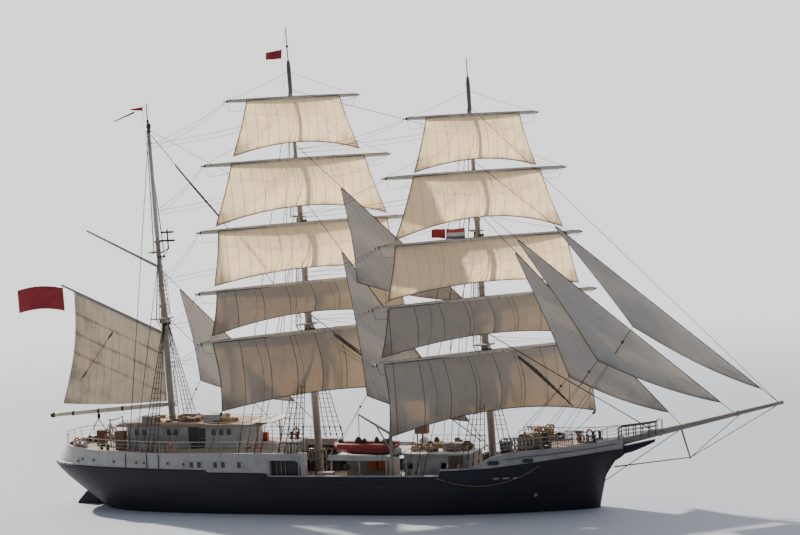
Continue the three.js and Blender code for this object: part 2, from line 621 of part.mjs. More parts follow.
// Ensign below the gaff's peak, rippling in the wind
function makeEnsign() {
  const { below, hoist, fly, out, halyard } = ensign;
  const topZ = spanker.throat + spanker.gaffRise * (out / spanker.gaffLength) - below;
  const luffLine = vec(-out, 0, topZ + 1);
  const cut = bar(luffLine, luffLine.clone().setZ(topZ - hoist - 1), halyard + gap, halyard + gap, 6);
  const place = (u, v) =>
    vec(-out - fly * u, 0.2 * Math.sin(u * 7) * u, topZ - hoist * v + 0.3 * Math.sin(u * 3));
  return sheet(10, 4, place, canvas).subtract(cut).rotate([0, 0, spankerAngle]);
}

// Hollow walls of a deckhouse, with its windows and doorway cut through, each as a box's two corners
function makeWalls(house, openings) {
  const { aft, fore, half, floor, top } = house;
  const outer = box(vec(aft, -half, floor + gap), vec(fore, half, top));
  const wall = wallThickness;
  const inner = box(vec(aft + wall, wall - half, floor - 1), vec(fore - wall, half - wall, top + 1));
  return openings.reduce((walls, [low, high]) => walls.subtract(box(low, high)), outer.subtract(inner));
}

function windowRow(house, xs, width, low, height) {
  return xs.map((x) => [
    vec(x - width / 2, -house.half - 1, low), vec(x + width / 2, house.half + 1, low + height),
  ]);
}

// Door leaf hung outside a wall that faces starboard, with two hinge knuckles
function makeSideDoor(x, wallY, floor) {
  const { width, height, sill, thickness } = door;
  const outside = wallY - gap;
  const leaf = box(vec(x, outside - thickness, floor + sill), vec(x + width, outside, floor + sill + height));
  const knuckles = [0.3, height - 0.3].map((up) => {
    const low = vec(x, outside - thickness / 2, floor + sill + up - 0.08);
    return bar(low, low.clone().setZ(low.z + 0.16), thickness / 2, thickness / 2, 8);
  });
  return join(leaf, ...knuckles);
}

function makeAftRoof() {
  const { aft, fore, half, top, post } = aftRoof;
  const slab = box(vec(aft, -half, aftHouse.top + gap), vec(fore, half, top));
  const posts = [-1, 1].map((side) => {
    const y = side * (half - 0.2);
    return box(vec(fore - 0.25, y - post, quarterdeck.top + gap), vec(fore - 0.17, y + post, top - 0.05));
  });
  return join(slab, ...posts).subtract(placed(mastPole(masts.mizzen, gap), frames.mizzen));
}

// Deck over the waist on posts, with lockers under it
function makeBoatDeck() {
  const { aft, fore, half, bottom, top, post } = boatDeck;
  const posts = [aft + 0.2, (aft + fore) / 2, fore - 0.3].flatMap((x) => [-1, 1].map((side) => {
    const y = side * (half - 0.25);
    return box(vec(x, y - post / 2, mainDeckZ + gap), vec(x + post, y + post / 2, bottom + 0.02));
  }));
  const casing = box(vec(aft + 0.8, -1.6, mainDeckZ + gap), vec(fore - 0.8, 1.6, bottom + 0.02));
  const chocks = [1.9, 4.6].map((x) =>
    box(vec(x, boat.y - 0.5, top - 0.01), vec(x + 0.2, boat.y + 0.5, boat.keel - boat.clear)));
  return join(box(vec(aft, -half, bottom), vec(fore, half, top)), ...posts, casing, ...chocks);
}

// Hull of the rescue boat, bow aft, with its well
function boatHull() {
  const { bow, length, y, keel, half, side } = boat;
  const rows = [[0, 0.15, 0.5], [0.12, 0.5, 0.3], [0.3, 0.85, 0.05], [0.7, 1, 0], [1, 0.95, 0.02]];
  const outer = loft(rows.map(([t, width, rise]) => {
    const x = bow + length * t;
    const w = half * width;
    const low = keel + rise;
    return [
      vec(x, y - 0.08, low), vec(x, y - w, low + 0.3), vec(x, y - w, keel + side),
      vec(x, y + w, keel + side), vec(x, y + w, low + 0.3), vec(x, y + 0.08, low),
    ];
  }));
  const floor = keel + 0.4;
  const well = [[0.3, 0.55], [0.45, 0.7], [0.96, 0.7]].map(([t, width]) => {
    const x = bow + length * t;
    const w = half * width;
    return [vec(x, y - w, floor), vec(x, y - w, keel + 2), vec(x, y + w, keel + 2), vec(x, y + w, floor)];
  });
  return outer.subtract(loft(well));
}

// Inflated collar round the boat's sides and bow
function boatTube() {
  const { bow, length, y, keel, tube, half } = boat;
  const z = keel + 0.8;
  const side = half + tube * 0.45;
  const rows = [[1, 1], [0.7, 1], [0.4, 1], [0.2, 0.8], [0.08, 0.45]];
  const points = rows.map(([t, w]) => [bow + length * t, w]);
  const route = [
    ...points.map(([x, w]) => vec(x, y - side * w, z)), vec(bow + tube, y, z + 0.06),
    ...points.toReversed().map(([x, w]) => vec(x, y + side * w, z)),
  ];
  const corner = (_, i) => new THREE.Vector2(tube, 0).rotateAround(new THREE.Vector2(), (i * Math.PI) / 4);
  const section = new THREE.Shape(Array.from({ length: 8 }, corner));
  return solid(new THREE.ExtrudeGeometry(section, {
    steps: 16, extrudePath: new THREE.CatmullRomCurve3(route, false, 'centripetal'), bevelEnabled: false,
  }));
}

// Davit: a post on deck with a jib that reaches over the boat, and the fall that holds it
function makeDavit() {
  const { x, y, height, radius, head } = davit;
  const post = bar(vec(x, y, mainDeckZ + gap), vec(x, y, height), radius);
  const jib = bar(vec(x, y, height - 0.15), head, radius * 0.8, radius * 0.5);
  const strut = bar(vec(x, y, height - 1.6), vec(x, y, height - 0.15).lerp(head, 0.45), 0.06, 0.06, 6);
  const fall = bar(head, vec(head.x, head.y, boat.keel + 0.4 + gap), 0.035, 0.035, 6);
  return join(post, jib, strut, fall);
}

function makePropeller(side) {
  const { x, radius, hub, hubLength, blades } = propeller;
  const { y, z } = shaftLine;
  const boss = bar(vec(-hubLength / 2, 0, 0), vec(hubLength / 2, 0, 0), hub * 0.7, hub, 12);
  const rows = [[0.1, 0.14, 50], [0.5, 0.3, 35], [0.85, 0.28, 25], [1, 0.12, 22]];
  const blade = loft(rows.map(([r, width, pitch]) => {
    const a = degToRad(pitch) * side;
    const [cos, sin] = [Math.cos(a), Math.sin(a)];
    return [[width, 0], [0, 0.03], [-width, 0], [0, -0.03]].map(([w, h]) =>
      vec(w * cos - h * sin, w * sin + h * cos, r * radius));
  }));
  const all = Array.from({ length: blades }, (_, i) => blade.rotate([(360 / blades) * i, 0, 0]));
  return join(boss, ...all).translate([x, side * y, z]);
}

function makeRudder() {
  const { x, radius, head, foot, tail, bladeTop } = rudder;
  const blade = plate([[x, foot], ...bladeTop, [tail, 0.1], [tail, foot + 0.15], [tail + 0.3, foot]], -0.11, 0.11);
  const stock = bar(vec(x, 0, foot), vec(x, 0, head), radius, radius, 12);
  return join(blade, stock);
}

// Ship's wheel, with its rim, spokes and handles
function makeWheel() {
  const { x, hubZ, radius, spokes } = helm;
  const rim = (r, thick) => {
    const disc = (size, half) => bar(vec(-half, 0, 0), vec(half, 0, 0), size, size, 20);
    return disc(r + thick, thick / 2).subtract(disc(r, thick));
  };
  const arms = Array.from({ length: spokes }, (_, i) =>
    bar(vec(0, 0, 0), vec(0, 0, radius), 0.035, 0.025, 6).rotate([(360 / spokes) * i, 0, 0]));
  const hub = bar(vec(-0.1, 0, 0), vec(0.1, 0, 0), 0.14, 0.14, 12);
  return join(rim(radius * 0.72, 0.06), hub, ...arms).translate([x, 0, hubZ]);
}

// Steering box that carries the wheel on a short spindle
function makeSteeringBox() {
  const { x, hubZ } = helm;
  const wheelAft = x - 0.1 - gap;
  const cabinet = box(vec(x - 1.1, -0.35, quarterdeck.top + gap), vec(x - 0.35, 0.35, hubZ + 0.25));
  return cabinet.add(bar(vec(x - 0.4, 0, hubZ), vec(wheelAft, 0, hubZ), 0.08, 0.08, 12));
}

function makeWindlass(deck) {
  const { x, half, radius } = windlass;
  const base = along(forecastleTop, x);
  const cheeks = [-half, half - 0.25].map((y) =>
    box(vec(x - 0.6, y, base), vec(x + 0.6, y + 0.25, base + 1.0)));
  const bed = box(vec(x - 0.7, -half, base - 0.1), vec(x + 0.7, half, base + 0.15));
  const drum = bar(vec(x, -half - 0.35, base + 0.65), vec(x, half + 0.35, base + 0.65), radius, radius, 14);
  return join(bed, ...cheeks, drum).subtract(deck.translate([0, 0, gap]));
}

// Assembly
const frames = Object.fromEntries(Object.entries(masts).map(([name, mast]) => [name, mastFrame(mast)]));

addPiece('hull', makeHull(), hullBlack);
addPiece('quarterdeck', makeQuarterdeck(), topsideWhite);
const foredeck = makeForecastle();
addPiece('forecastle', foredeck, topsideWhite);
addPiece('beakhead', makeBeakhead(), hullBlack);
addPiece('bowsprit', makeBowsprit(), mastBuff);
addPiece('rudder', makeRudder(), hullBlack);
addPiece('propeller_port', makePropeller(1), bronze);
addPiece('propeller_starboard', makePropeller(-1), bronze);

for (const [name, mast] of Object.entries(masts)) {
  addPiece(`${name}_mast`, makeMast(mast, frames[name]), mastBuff, frames[name]);
}
for (const row of yardRows) {
  const [mastName, name, height, half, radius] = row;
  const [mast, frame] = [masts[mastName], frames[mastName]];
  addPiece(`${mastName}_${name}_yard`, makeYard(mast, height, half, radius), yardGrey, frame);
  addPiece(`${mastName}_${name}`, makeSquareSail(mast, row), sailCloth, frame);
}
for (const [name, mastName, farEnd, head, tack, clew, clewOut, belly] of staysailRows) {
  const stay = makeStay(mastName, farEnd, head, tack);
  addPiece(`${name}_stay`, stay.stay, wireGrey);
  addPiece(name, makeStaysail(stay, head, tack, clew, clewOut, belly), sailCloth);
}

const { boom, gaff, sail } = makeSpankerGear();
addPiece('spanker_boom', boom, mastBuff, frames.mizzen);
addPiece('spanker_gaff', gaff, mastBuff, frames.mizzen);
addPiece('spanker', sail, sailCloth, frames.mizzen);
addPiece('upper_gaff', makeUpperGaff(), mastBuff, frames.mizzen);
addPiece('ensign', makeEnsign(), flagRed, frames.mizzen);

const aftDoorX = -12.3;
const foreDoorX = 8.4;
const doorHole = (x, house) => [
  vec(x + door.lap, -house.half - 1, house.floor + door.sill + door.lap),
  vec(x + door.width - door.lap, -house.half + 1, house.floor + door.sill + door.height - door.lap),
];
addPiece('aft_deckhouse', makeWalls(aftHouse, [
  ...windowRow(aftHouse, [-17.1, -16.4, -14.1, -13.5, -10.0, -9.3, -8.6], 0.4, 6.35, 0.5),
  doorHole(aftDoorX, aftHouse),
]), topsideWhite);
addPiece('aft_deckhouse_roof', makeAftRoof(), deckWood);
addPiece('aft_deckhouse_door', makeSideDoor(aftDoorX, -aftHouse.half, aftHouse.floor), varnish);
addPiece('forward_deckhouse', makeWalls(foreHouse, [
  ...windowRow(foreHouse, [7.4, 10.3, 11.3], 0.45, 3.5, 0.5),
  doorHole(foreDoorX, foreHouse),
]), topsideWhite);
addPiece('forward_deckhouse_roof', box(
  vec(foreRoof.aft, -foreRoof.half, foreHouse.top + gap), vec(foreRoof.fore, foreRoof.half, foreRoof.top),
), topsideWhite);
addPiece('forward_deckhouse_door', makeSideDoor(foreDoorX, -foreHouse.half, foreHouse.floor), varnish);
addPiece('boat_deck', makeBoatDeck(), topsideWhite);
addPiece('rescue_boat', join(boatHull(), boatTube()), tubeRed);
addPiece('boat_davit', makeDavit(), mastBuff);
addPiece('wheel', makeWheel(), varnish);
addPiece('steering_box', makeSteeringBox(), varnish);
addPiece('windlass', makeWindlass(foredeck), mastBuff);

export default ship;
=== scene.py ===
# A three-masted barque under sail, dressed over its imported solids.
# Lengths below are those of the full-size ship in metres; the model is built at half size.
from math import atan, cos, pi, radians, sin

import bmesh
import bpy
import numpy as np
from mathutils import Matrix, Vector


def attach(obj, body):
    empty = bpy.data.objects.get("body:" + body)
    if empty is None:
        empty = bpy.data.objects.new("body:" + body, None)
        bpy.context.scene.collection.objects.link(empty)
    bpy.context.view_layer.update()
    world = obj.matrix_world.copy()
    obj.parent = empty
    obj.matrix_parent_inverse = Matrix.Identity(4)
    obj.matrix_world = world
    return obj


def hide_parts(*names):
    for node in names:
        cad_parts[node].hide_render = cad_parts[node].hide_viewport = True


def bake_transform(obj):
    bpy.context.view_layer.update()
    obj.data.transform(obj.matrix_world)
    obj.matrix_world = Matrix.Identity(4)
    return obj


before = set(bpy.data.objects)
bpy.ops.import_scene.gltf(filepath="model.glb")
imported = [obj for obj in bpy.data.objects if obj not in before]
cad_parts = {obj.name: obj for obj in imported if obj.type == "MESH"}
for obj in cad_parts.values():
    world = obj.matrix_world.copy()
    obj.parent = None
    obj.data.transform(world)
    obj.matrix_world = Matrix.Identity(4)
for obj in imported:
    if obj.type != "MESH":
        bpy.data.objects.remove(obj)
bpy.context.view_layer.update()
scale = 0.5


# Arrays and meshes


def lerp(a, b, t):
    # a at t = 0 and b at t = 1, evenly between
    return a + (b - a) * t


def unit(vectors):
    # each vector divided by its length
    return vectors / np.maximum(np.linalg.norm(vectors, axis=-1, keepdims=True), 1e-9)


def turnAboutZ(points, degrees):
    # a level turn to the left, seen from above
    c, s = cos(radians(degrees)), sin(radians(degrees))
    return points @ np.array([[c, s, 0], [-s, c, 0], [0, 0, 1]])


def aroundCircle(count):
    # equal steps once round, the last short of the first
    return np.arange(count) * 2 * pi / count


def gridFaces(rows, columns, wrap=False):
    # quads between neighbouring rows and columns of a grid of points, row after row
    r, c = np.meshgrid(np.arange(rows - 1), np.arange(columns if wrap else columns - 1), indexing="ij")
    right = (c + 1) % columns
    below = (r + 1) * columns
    return np.stack([r * columns + c, r * columns + right, below + right, below + c],
                    axis=-1).reshape(-1, 4)


def addPiece(name, body, material, points, quads, smooth=True, uv=None, values=None):
    # a mesh from points in full-size metres, halved, with its cloth map and numbers at its points
    mesh = bpy.data.meshes.new(name)
    mesh.from_pydata((np.asarray(points).reshape(-1, 3) * scale).tolist(), [], [list(f) for f in quads])
    mesh.materials.append(material)
    mesh.polygons.foreach_set("use_smooth", np.full(len(mesh.polygons), smooth))
    if uv is not None:
        corners = np.zeros(len(mesh.loops), dtype=np.int32)
        mesh.loops.foreach_get("vertex_index", corners)
        mesh.uv_layers.new(name="cloth").data.foreach_set("uv", np.asarray(uv)[corners].ravel())
    for key, array in (values or {}).items():
        mesh.attributes.new(key, "FLOAT", "POINT").data.foreach_set("value", np.asarray(array).ravel())
    mesh.update()
    piece = bpy.data.objects.new(name, mesh)
    bpy.context.collection.objects.link(piece)
    if body:
        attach(piece, body)
    return piece


def thicken(piece, thickness, offset=0.0):
    # a wall, about the surface at offset 0 and inside it at offset -1
    wall = piece.modifiers.new("wall", "SOLIDIFY")
    wall.thickness = thickness * scale
    wall.offset = offset


class Shape:
    # Points and faces of many small forms, gathered into one mesh

    def __init__(self):
        self.points = []
        self.faces = []
        self.count = 0

    def add(self, points, faces):
        # points, and faces that count from the first of them
        points = np.asarray(points, dtype=float).reshape(-1, 3)
        self.points.append(points)
        self.faces += [[i + self.count for i in face] for face in faces]
        self.count += len(points)
        return self

    def tube(self, path, radius, sides=6, closed=False):
        # a circle of the given radius carried along a path, square to its direction at each point
        path = np.asarray(path, dtype=float)
        radii = np.broadcast_to(np.asarray(radius, dtype=float), (len(path),))
        ahead = (np.roll(path, -1, 0) - np.roll(path, 1, 0)) if closed else np.gradient(path, axis=0)
        ahead = unit(ahead)
        spread = np.abs(ahead).mean(axis=0)
        reference = np.eye(3)[int(np.argmin(spread))]
        side = unit(np.cross(ahead, reference))
        up = np.cross(side, ahead)
        angle = aroundCircle(sides)
        ring = side[:, None] * np.cos(angle)[None, :, None] + up[:, None] * np.sin(angle)[None, :, None]
        points = path[:, None] + ring * radii[:, None, None]
        rows = len(path)
        faces = [list(f) for f in gridFaces(rows, sides, True)[:, ::-1]]
        if closed:
            last = (rows - 1) * sides
            faces += [[(i + 1) % sides, i, last + i, last + (i + 1) % sides][::-1] for i in range(sides)]
        else:
            faces += [list(range(sides)), list(range(rows * sides - 1, (rows - 1) * sides - 1, -1))]
        return self.add(points, faces)

    def box(self, low, high):
        # between two opposite corners, given in any order
        low, high = np.minimum(low, high).astype(float), np.maximum(low, high).astype(float)
        corners = np.array([[i, j, k] for k in (0, 1) for j in (0, 1) for i in (0, 1)])
        faces = [[0, 2, 3, 1], [4, 5, 7, 6], [0, 1, 5, 4], [2, 6, 7, 3], [0, 4, 6, 2], [1, 3, 7, 5]]
        return self.add(low + corners * (high - low), faces)

    def turned(self, profile, centre, axis=(0, 0, 1), sides=12):
        # a profile of (radius, distance along the axis) turned about the axis
        profile = np.asarray(profile, dtype=float)
        axis = unit(np.asarray(axis, dtype=float))
        side = unit(np.cross(axis, np.eye(3)[int(np.argmin(np.abs(axis)))]))
        up = np.cross(axis, side)
        angle = aroundCircle(sides)
        ring = side * np.cos(angle)[:, None] + up * np.sin(angle)[:, None]
        points = np.asarray(centre) + profile[:, 1, None, None] * axis + profile[:, 0, None, None] * ring
        rows = len(profile)
        faces = [list(f) for f in gridFaces(rows, sides, True)]
        faces += [list(range(sides))[::-1], list(range((rows - 1) * sides, rows * sides))]
        return self.add(points, faces)

    def piece(self, name, body, material, smooth=True, bevel=0):
        # all that was gathered, as one object
        piece = addPiece(name, body, material, np.concatenate(self.points), self.faces, smooth)
        if bevel:
            edge = piece.modifiers.new("edge", "BEVEL")
            edge.width = bevel * scale
            edge.segments = 2
            edge.limit_method = "ANGLE"
        return piece

    def fit(self, name, material, slot, body="ship", smooth=True, bevel=0):
        # a finished piece that rides on a body, in the material given; the slot is not used
        piece = self.piece(name, body, material, smooth, bevel)
        return piece

    def span(self, name, body, start, end):
        # a rope from a moving body to the ship, bending between its ends, made as one piece on no body; the
        # body is not used
        piece = self.piece(name, None, darkRope)
        tuple(start * scale)
        tuple(end * scale)
        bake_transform(piece)


# Materials


class Link:
    # A shader socket whose operators add Math nodes

    def __init__(self, shader, socket):
        self.shader = shader
        self.socket = socket

    def maths(self, operation, *values):
        return self.shader.node("ShaderNodeMath", {"operation": operation}, *values)

    def __add__(self, other):
        return self.maths("ADD", self, other)

    def __sub__(self, other):
        return self.maths("SUBTRACT", self, other)

    def __rsub__(self, other):
        return self.maths("SUBTRACT", other, self)

    def __mul__(self, other):
        return self.maths("MULTIPLY", self, other)

    __radd__ = __add__
    __rmul__ = __mul__

    def __truediv__(self, other):
        return self.maths("DIVIDE", self, other)

    def __pow__(self, other):
        return self.maths("POWER", self, other)

    def fract(self):
        return self.maths("FRACT", self)

    def abs(self):
        return self.maths("ABSOLUTE", self)

    def ramp(self, low, high, fromValue=0.0, toValue=1.0):
        # smooth step from one value to another between two limits
        settings = {"interpolation_type": "SMOOTHSTEP"}
        return self.shader.node("ShaderNodeMapRange", settings, self, low, high, fromValue, toValue)


class Shader:
    # A material or world in the making, with its node tree

    def __init__(self, name, world=False):
        self.material = bpy.data.worlds.new(name) if world else bpy.data.materials.new(name)
        self.material.use_nodes = True
        self.tree = self.material.node_tree
        self.tree.nodes.clear()
        self.output = self.tree.nodes.new("ShaderNodeOutputWorld" if world else "ShaderNodeOutputMaterial")

    def node(self, kind, settings=None, *values, out=0, **named):
        # settings first, then sockets in their order, then sockets by name with _ for a space
        node = self.tree.nodes.new(kind)
        for key, value in (settings or {}).items():
            setattr(node, key, value)
        sockets = list(zip(node.inputs, values))
        sockets += [(node.inputs[key.replace("_", " ")], value) for key, value in named.items()]
        for socket, value in sockets:
            if isinstance(value, Link):
                self.tree.links.new(value.socket, socket)
            elif value is not None:
                socket.default_value = value
        return Link(self, node.outputs[out])

    def place(self):
        return self.node("ShaderNodeTexCoord", out="Object")

    def split(self, vector):
        # the x, y and z of a vector
        parts = self.node("ShaderNodeSeparateXYZ", None, vector).socket.node.outputs
        return [Link(self, part) for part in parts]

    def value(self, name):
        # a number kept at the mesh's points
        return self.node("ShaderNodeAttribute", {"attribute_name": name}, out="Fac")

    def noise(self, vector, size, detail=3.0, rough=0.55):
        # size is the width of a patch in metres of the model
        return self.node("ShaderNodeTexNoise", None, Vector=vector, Scale=1.0 / size, Detail=detail,
                         Roughness=rough)

    def stretched(self, vector, x, y, z):
        # coordinates multiplied along each axis
        return self.node("ShaderNodeMapping", None, Vector=vector, Scale=(x, y, z))

    def mix(self, factor, a, b):
        # from colour a at factor 0 to colour b at factor 1
        node = self.tree.nodes.new("ShaderNodeMix")
        node.data_type = "RGBA"
        for socket, value in ((node.inputs[0], factor), (node.inputs[6], a), (node.inputs[7], b)):
            if isinstance(value, Link):
                self.tree.links.new(value.socket, socket)
            else:
                socket.default_value = value if isinstance(value, float) else (*value, 1.0)
        return Link(self, node.outputs[2])

    def bump(self, height, distance, strength=1.0):
        return self.node("ShaderNodeBump", None, Height=height, Distance=distance, Strength=strength)

    def finish(self, surface):
        self.tree.links.new(surface.socket, self.output.inputs["Surface"])
        return self.material


def paintedMetal(name, colour, worn, roughness=0.4, patch=0.5, amount=0.5, streaks=True, grain=0.002):
    # paint with soft patches, faint runs down the side, and small rough marks
    s = Shader(name)
    place = s.place()
    patches = s.noise(place, patch, 4.0).ramp(0.42, 0.72)
    runs = s.noise(s.stretched(place, 9.0, 9.0, 0.8), 0.6, 3.0).ramp(0.5, 0.78) if streaks else patches
    wear = (patches * 0.55 + runs * 0.45) * amount
    fine = s.noise(place, 0.02, 2.0)
    base = s.mix(wear, colour, worn)
    return s.finish(s.node("ShaderNodeBsdfPrincipled", None, Base_Color=base,
                           Roughness=wear * 0.3 + roughness, Normal=s.bump(fine, grain, 0.4)))


def sailCloth(name, fresh, stained, seam, spacing, seamDepth, seamWidth, letThrough):
    # cloths sewn side by side: dark seams, a doubled edge, stains at the foot and corners, light let through
    tabling, wander = 0.12, 0.08  # width of the doubled edge, and how far a seam strays
    s = Shader(name)
    uv = s.node("ShaderNodeUVMap", {"uv_map": "cloth"})
    across, _, _ = s.split(uv)
    drift = s.noise(s.stretched(uv, 1.0, 0.12, 1.0), 0.7, 2.0) - 0.5
    phase = ((across + drift * wander) / spacing).fract()
    seams = (phase - 0.5).abs().ramp(0.5 - seamWidth / spacing, 0.5)
    patchy = s.noise(uv, 1.3, 4.0, 0.6).ramp(0.35, 0.75)
    streaky = s.noise(s.stretched(uv, 5.0, 0.35, 1.0), 0.9, 3.0).ramp(0.45, 0.8)
    edge = s.value("edge")
    doubled = edge.ramp(tabling, tabling * 0.8, 0.0, 1.0)
    stain = s.value("stain") * (patchy * 0.5 + 0.6)
    soiled = (patchy * 0.3 + streaky * 0.25 + stain).ramp(0.0, 1.1)
    colour = s.mix(seams * seamDepth, s.mix(soiled, fresh, stained), seam)
    weave = s.noise(s.stretched(uv, 60.0, 60.0, 1.0), 0.5, 2.0)
    wrinkle = s.noise(s.stretched(uv, 1.0, 2.0, 1.0), 0.35, 3.0)
    height = weave * 0.12 + wrinkle * 0.9 + seams * 0.5
    cloth = s.node("ShaderNodeBsdfPrincipled", None, Base_Color=colour, Roughness=0.88,
                   Normal=s.bump(height, 0.012, 0.5))
    cloth.socket.node.inputs["Sheen Weight"].default_value = 0.12
    glow = s.node("ShaderNodeBsdfTranslucent", None, Color=(*letThrough[0], 1.0))
    through = letThrough[1] * (1.0 - seams * seamDepth * 0.8)
    through = through * (1.0 - doubled * 0.35) * (1.0 - soiled * 0.35)
    return s.finish(s.node("ShaderNodeMixShader", None, through, cloth, glow))


def ropeLay(name, colour, dark, roughness=0.75):
    # two tones and a fine bump from one small noise
    s = Shader(name)
    place = s.place()
    lay = s.noise(place, 0.02, 2.0)
    return s.finish(s.node("ShaderNodeBsdfPrincipled", None, Base_Color=s.mix(lay, colour, dark),
                           Roughness=roughness, Normal=s.bump(lay, 0.002, 0.5)))


# Sailcloth: fresh, stained and seam colours, width of a cloth, depth and width of its seams, then the
# colour and share of the light that it lets through
clothKinds = {
    "light": ((0.80, 0.73, 0.60), (0.50, 0.38, 0.26), (0.36, 0.29, 0.21), 0.92, 0.6, 0.045,
              ((0.97, 0.85, 0.66), 0.70)),
    "heavy": ((0.47, 0.43, 0.37), (0.27, 0.22, 0.17), (0.10, 0.08, 0.07), 2.3, 0.85, 0.07,
              ((0.88, 0.68, 0.44), 0.235)),
    "jib": ((0.62, 0.60, 0.56), (0.38, 0.34, 0.30), (0.25, 0.22, 0.19), 0.62, 0.4, 0.05,
            ((0.86, 0.76, 0.62), 0.24)),
    "spanker": ((0.66, 0.60, 0.50), (0.25, 0.22, 0.19), (0.25, 0.21, 0.17), 0.65, 0.45, 0.05,
                ((0.86, 0.74, 0.58), 0.28)),
}
lightCloth, heavyCloth, jibCloth, spankerCloth = (
    sailCloth(kind + "_sailcloth", *values) for kind, values in clothKinds.items())

# Paints, timber and iron: colour, worn colour, roughness, width of a patch, how far it is worn
hullPaint = paintedMetal("black_hull_paint", (0.006, 0.007, 0.013), (0.018, 0.018, 0.023), 0.5, 1.6, 0.6)
whitePaint = paintedMetal("white_topside_paint", (0.40, 0.385, 0.37), (0.22, 0.19, 0.16), 0.5, 0.5, 0.8)
buffPaint = paintedMetal("buff_mast_paint", (0.29, 0.25, 0.20), (0.14, 0.12, 0.10), 0.5, 0.5, 0.6)
yardPaint = paintedMetal("grey_yard_paint", (0.60, 0.52, 0.41), (0.34, 0.28, 0.21), 0.5, 0.4, 0.6)
darkRope = ropeLay("tarred_rope", (0.030, 0.027, 0.024), (0.060, 0.052, 0.044))
paleRope = ropeLay("pale_rope", (0.42, 0.38, 0.32), (0.25, 0.21, 0.17))
paleLine = ropeLay("white_line", (0.75, 0.74, 0.70), (0.55, 0.52, 0.47))
tanRope = ropeLay("tan_rope", (0.50, 0.36, 0.22), (0.22, 0.14, 0.08))
bronzeCast = paintedMetal("cast_bronze", (0.35, 0.21, 0.07), (0.10, 0.13, 0.08), 0.4, 0.2, 0.6)
creamPaint = paintedMetal("cream_boom_paint", (0.62, 0.55, 0.42), (0.38, 0.30, 0.20), 0.5, 0.4, 0.6)
polePaint = paintedMetal("grey_pole_paint", (0.15, 0.13, 0.115), (0.07, 0.06, 0.055), 0.5, 0.3, 0.6)
mizzenPaint = paintedMetal("mizzen_mast_paint", (0.42, 0.385, 0.345), (0.25, 0.22, 0.195), 0.5, 0.3, 0.6)
darkIron = paintedMetal("dark_iron", (0.035, 0.034, 0.033), (0.09, 0.06, 0.045), 0.55, 0.2, 0.6)
railPaint = paintedMetal("rail_paint", (0.42, 0.39, 0.34), (0.2, 0.16, 0.12), 0.5, 0.3, 0.6)
deckPlanks = paintedMetal("deck_planking", (0.26, 0.21, 0.16), (0.16, 0.13, 0.10), 0.7, 0.4, 0.8)
varnished = paintedMetal("varnished_wood", (0.16, 0.07, 0.03), (0.08, 0.035, 0.015), 0.3, 0.2, 0.7)
tubeCloth = paintedMetal("boat_tube_fabric", (0.27, 0.030, 0.022), (0.10, 0.02, 0.02), 0.55, 0.3, 0.6)
redBunting = paintedMetal("red_bunting", (0.36, 0.035, 0.04), (0.14, 0.02, 0.03), 0.85, 0.3, 0.6)
orangePaint = paintedMetal("orange_paint", (0.50, 0.10, 0.02), (0.28, 0.07, 0.03), 0.5, 0.2, 0.5)
greenCloth = paintedMetal("dark_green_cover", (0.05, 0.055, 0.035), (0.10, 0.08, 0.05), 0.85, 0.15, 0.8,
                          grain=0.01)
brownWood = paintedMetal("brown_boards", (0.24, 0.14, 0.075), (0.11, 0.07, 0.045), 0.7, 0.15, 0.8)
rustyRail = paintedMetal("dark_rail_paint", (0.10, 0.08, 0.07), (0.17, 0.10, 0.07), 0.6, 0.2, 0.8)
darkGlass = paintedMetal("window_glass", (0.012, 0.015, 0.018), (0.03, 0.035, 0.04), 0.08, 0.3, 0.3)
redRope = ropeLay("red_rope", (0.30, 0.05, 0.04), (0.16, 0.04, 0.03))
darkBunting = paintedMetal("dark_bunting", (0.03, 0.06, 0.05), (0.06, 0.05, 0.05), 0.85, 0.3, 0.5)
heavyRoll = paintedMetal("furled_sailcloth", (0.09, 0.085, 0.08), (0.05, 0.045, 0.04), 0.9, 0.3, 0.7,
                         grain=0.01)


def bandedCloth(name, bands):
    # bunting sewn from bands of colour across its hoist: (upper limit along the hoist in metres, colour)
    s = Shader(name)
    _, down, _ = s.split(s.node("ShaderNodeUVMap", {"uv_map": "cloth"}))
    colour = bands[0][1]
    for (limit, _), (_, after) in zip(bands[:-1], bands[1:]):
        colour = s.mix(down.ramp(limit - 0.006, limit + 0.006), colour, after)
    weave = s.noise(s.place(), 0.01, 2.0)
    cloth = s.node("ShaderNodeBsdfPrincipled", None, Base_Color=colour, Roughness=0.9,
                   Normal=s.bump(weave, 0.002, 0.4))
    glow = s.node("ShaderNodeBsdfTranslucent", None, Color=(0.6, 0.5, 0.45, 1.0))
    return s.finish(s.node("ShaderNodeMixShader", None, 0.25, cloth, glow))


tricolour = bandedCloth("three_band_bunting", (
    (0.3, (0.42, 0.03, 0.04)), (0.6, (0.65, 0.65, 0.62)), (1, (0.03, 0.06, 0.25))))

# The finish of each slot of the CAD nodes
slotMaterials = {
    "hull_black": hullPaint, "topside_white": whitePaint, "mast_buff": buffPaint, "yard_grey": yardPaint,
    "canvas": lightCloth, "wire": darkRope, "bronze": bronzeCast, "deck_wood": deckPlanks,
    "varnish": varnished, "boat_red": tubeCloth, "flag_red": redBunting,
}
# the forward door in white paint; the aft house's door in near-black paint, painted shade on the front of
# that house
doorPaintsAndShade = {"forward_deckhouse_door": whitePaint, "aft_deckhouse_door": darkIron}
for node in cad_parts.values():
    for slot in node.material_slots:
        key = next((k for k in slotMaterials if k in (slot.material.name if slot.material else "")), None)
        if key:
            slot.material = slotMaterials[key]
            if key == "varnish" and node.name in doorPaintsAndShade:
                slot.material = doorPaintsAndShade[node.name]
print("materials ready")

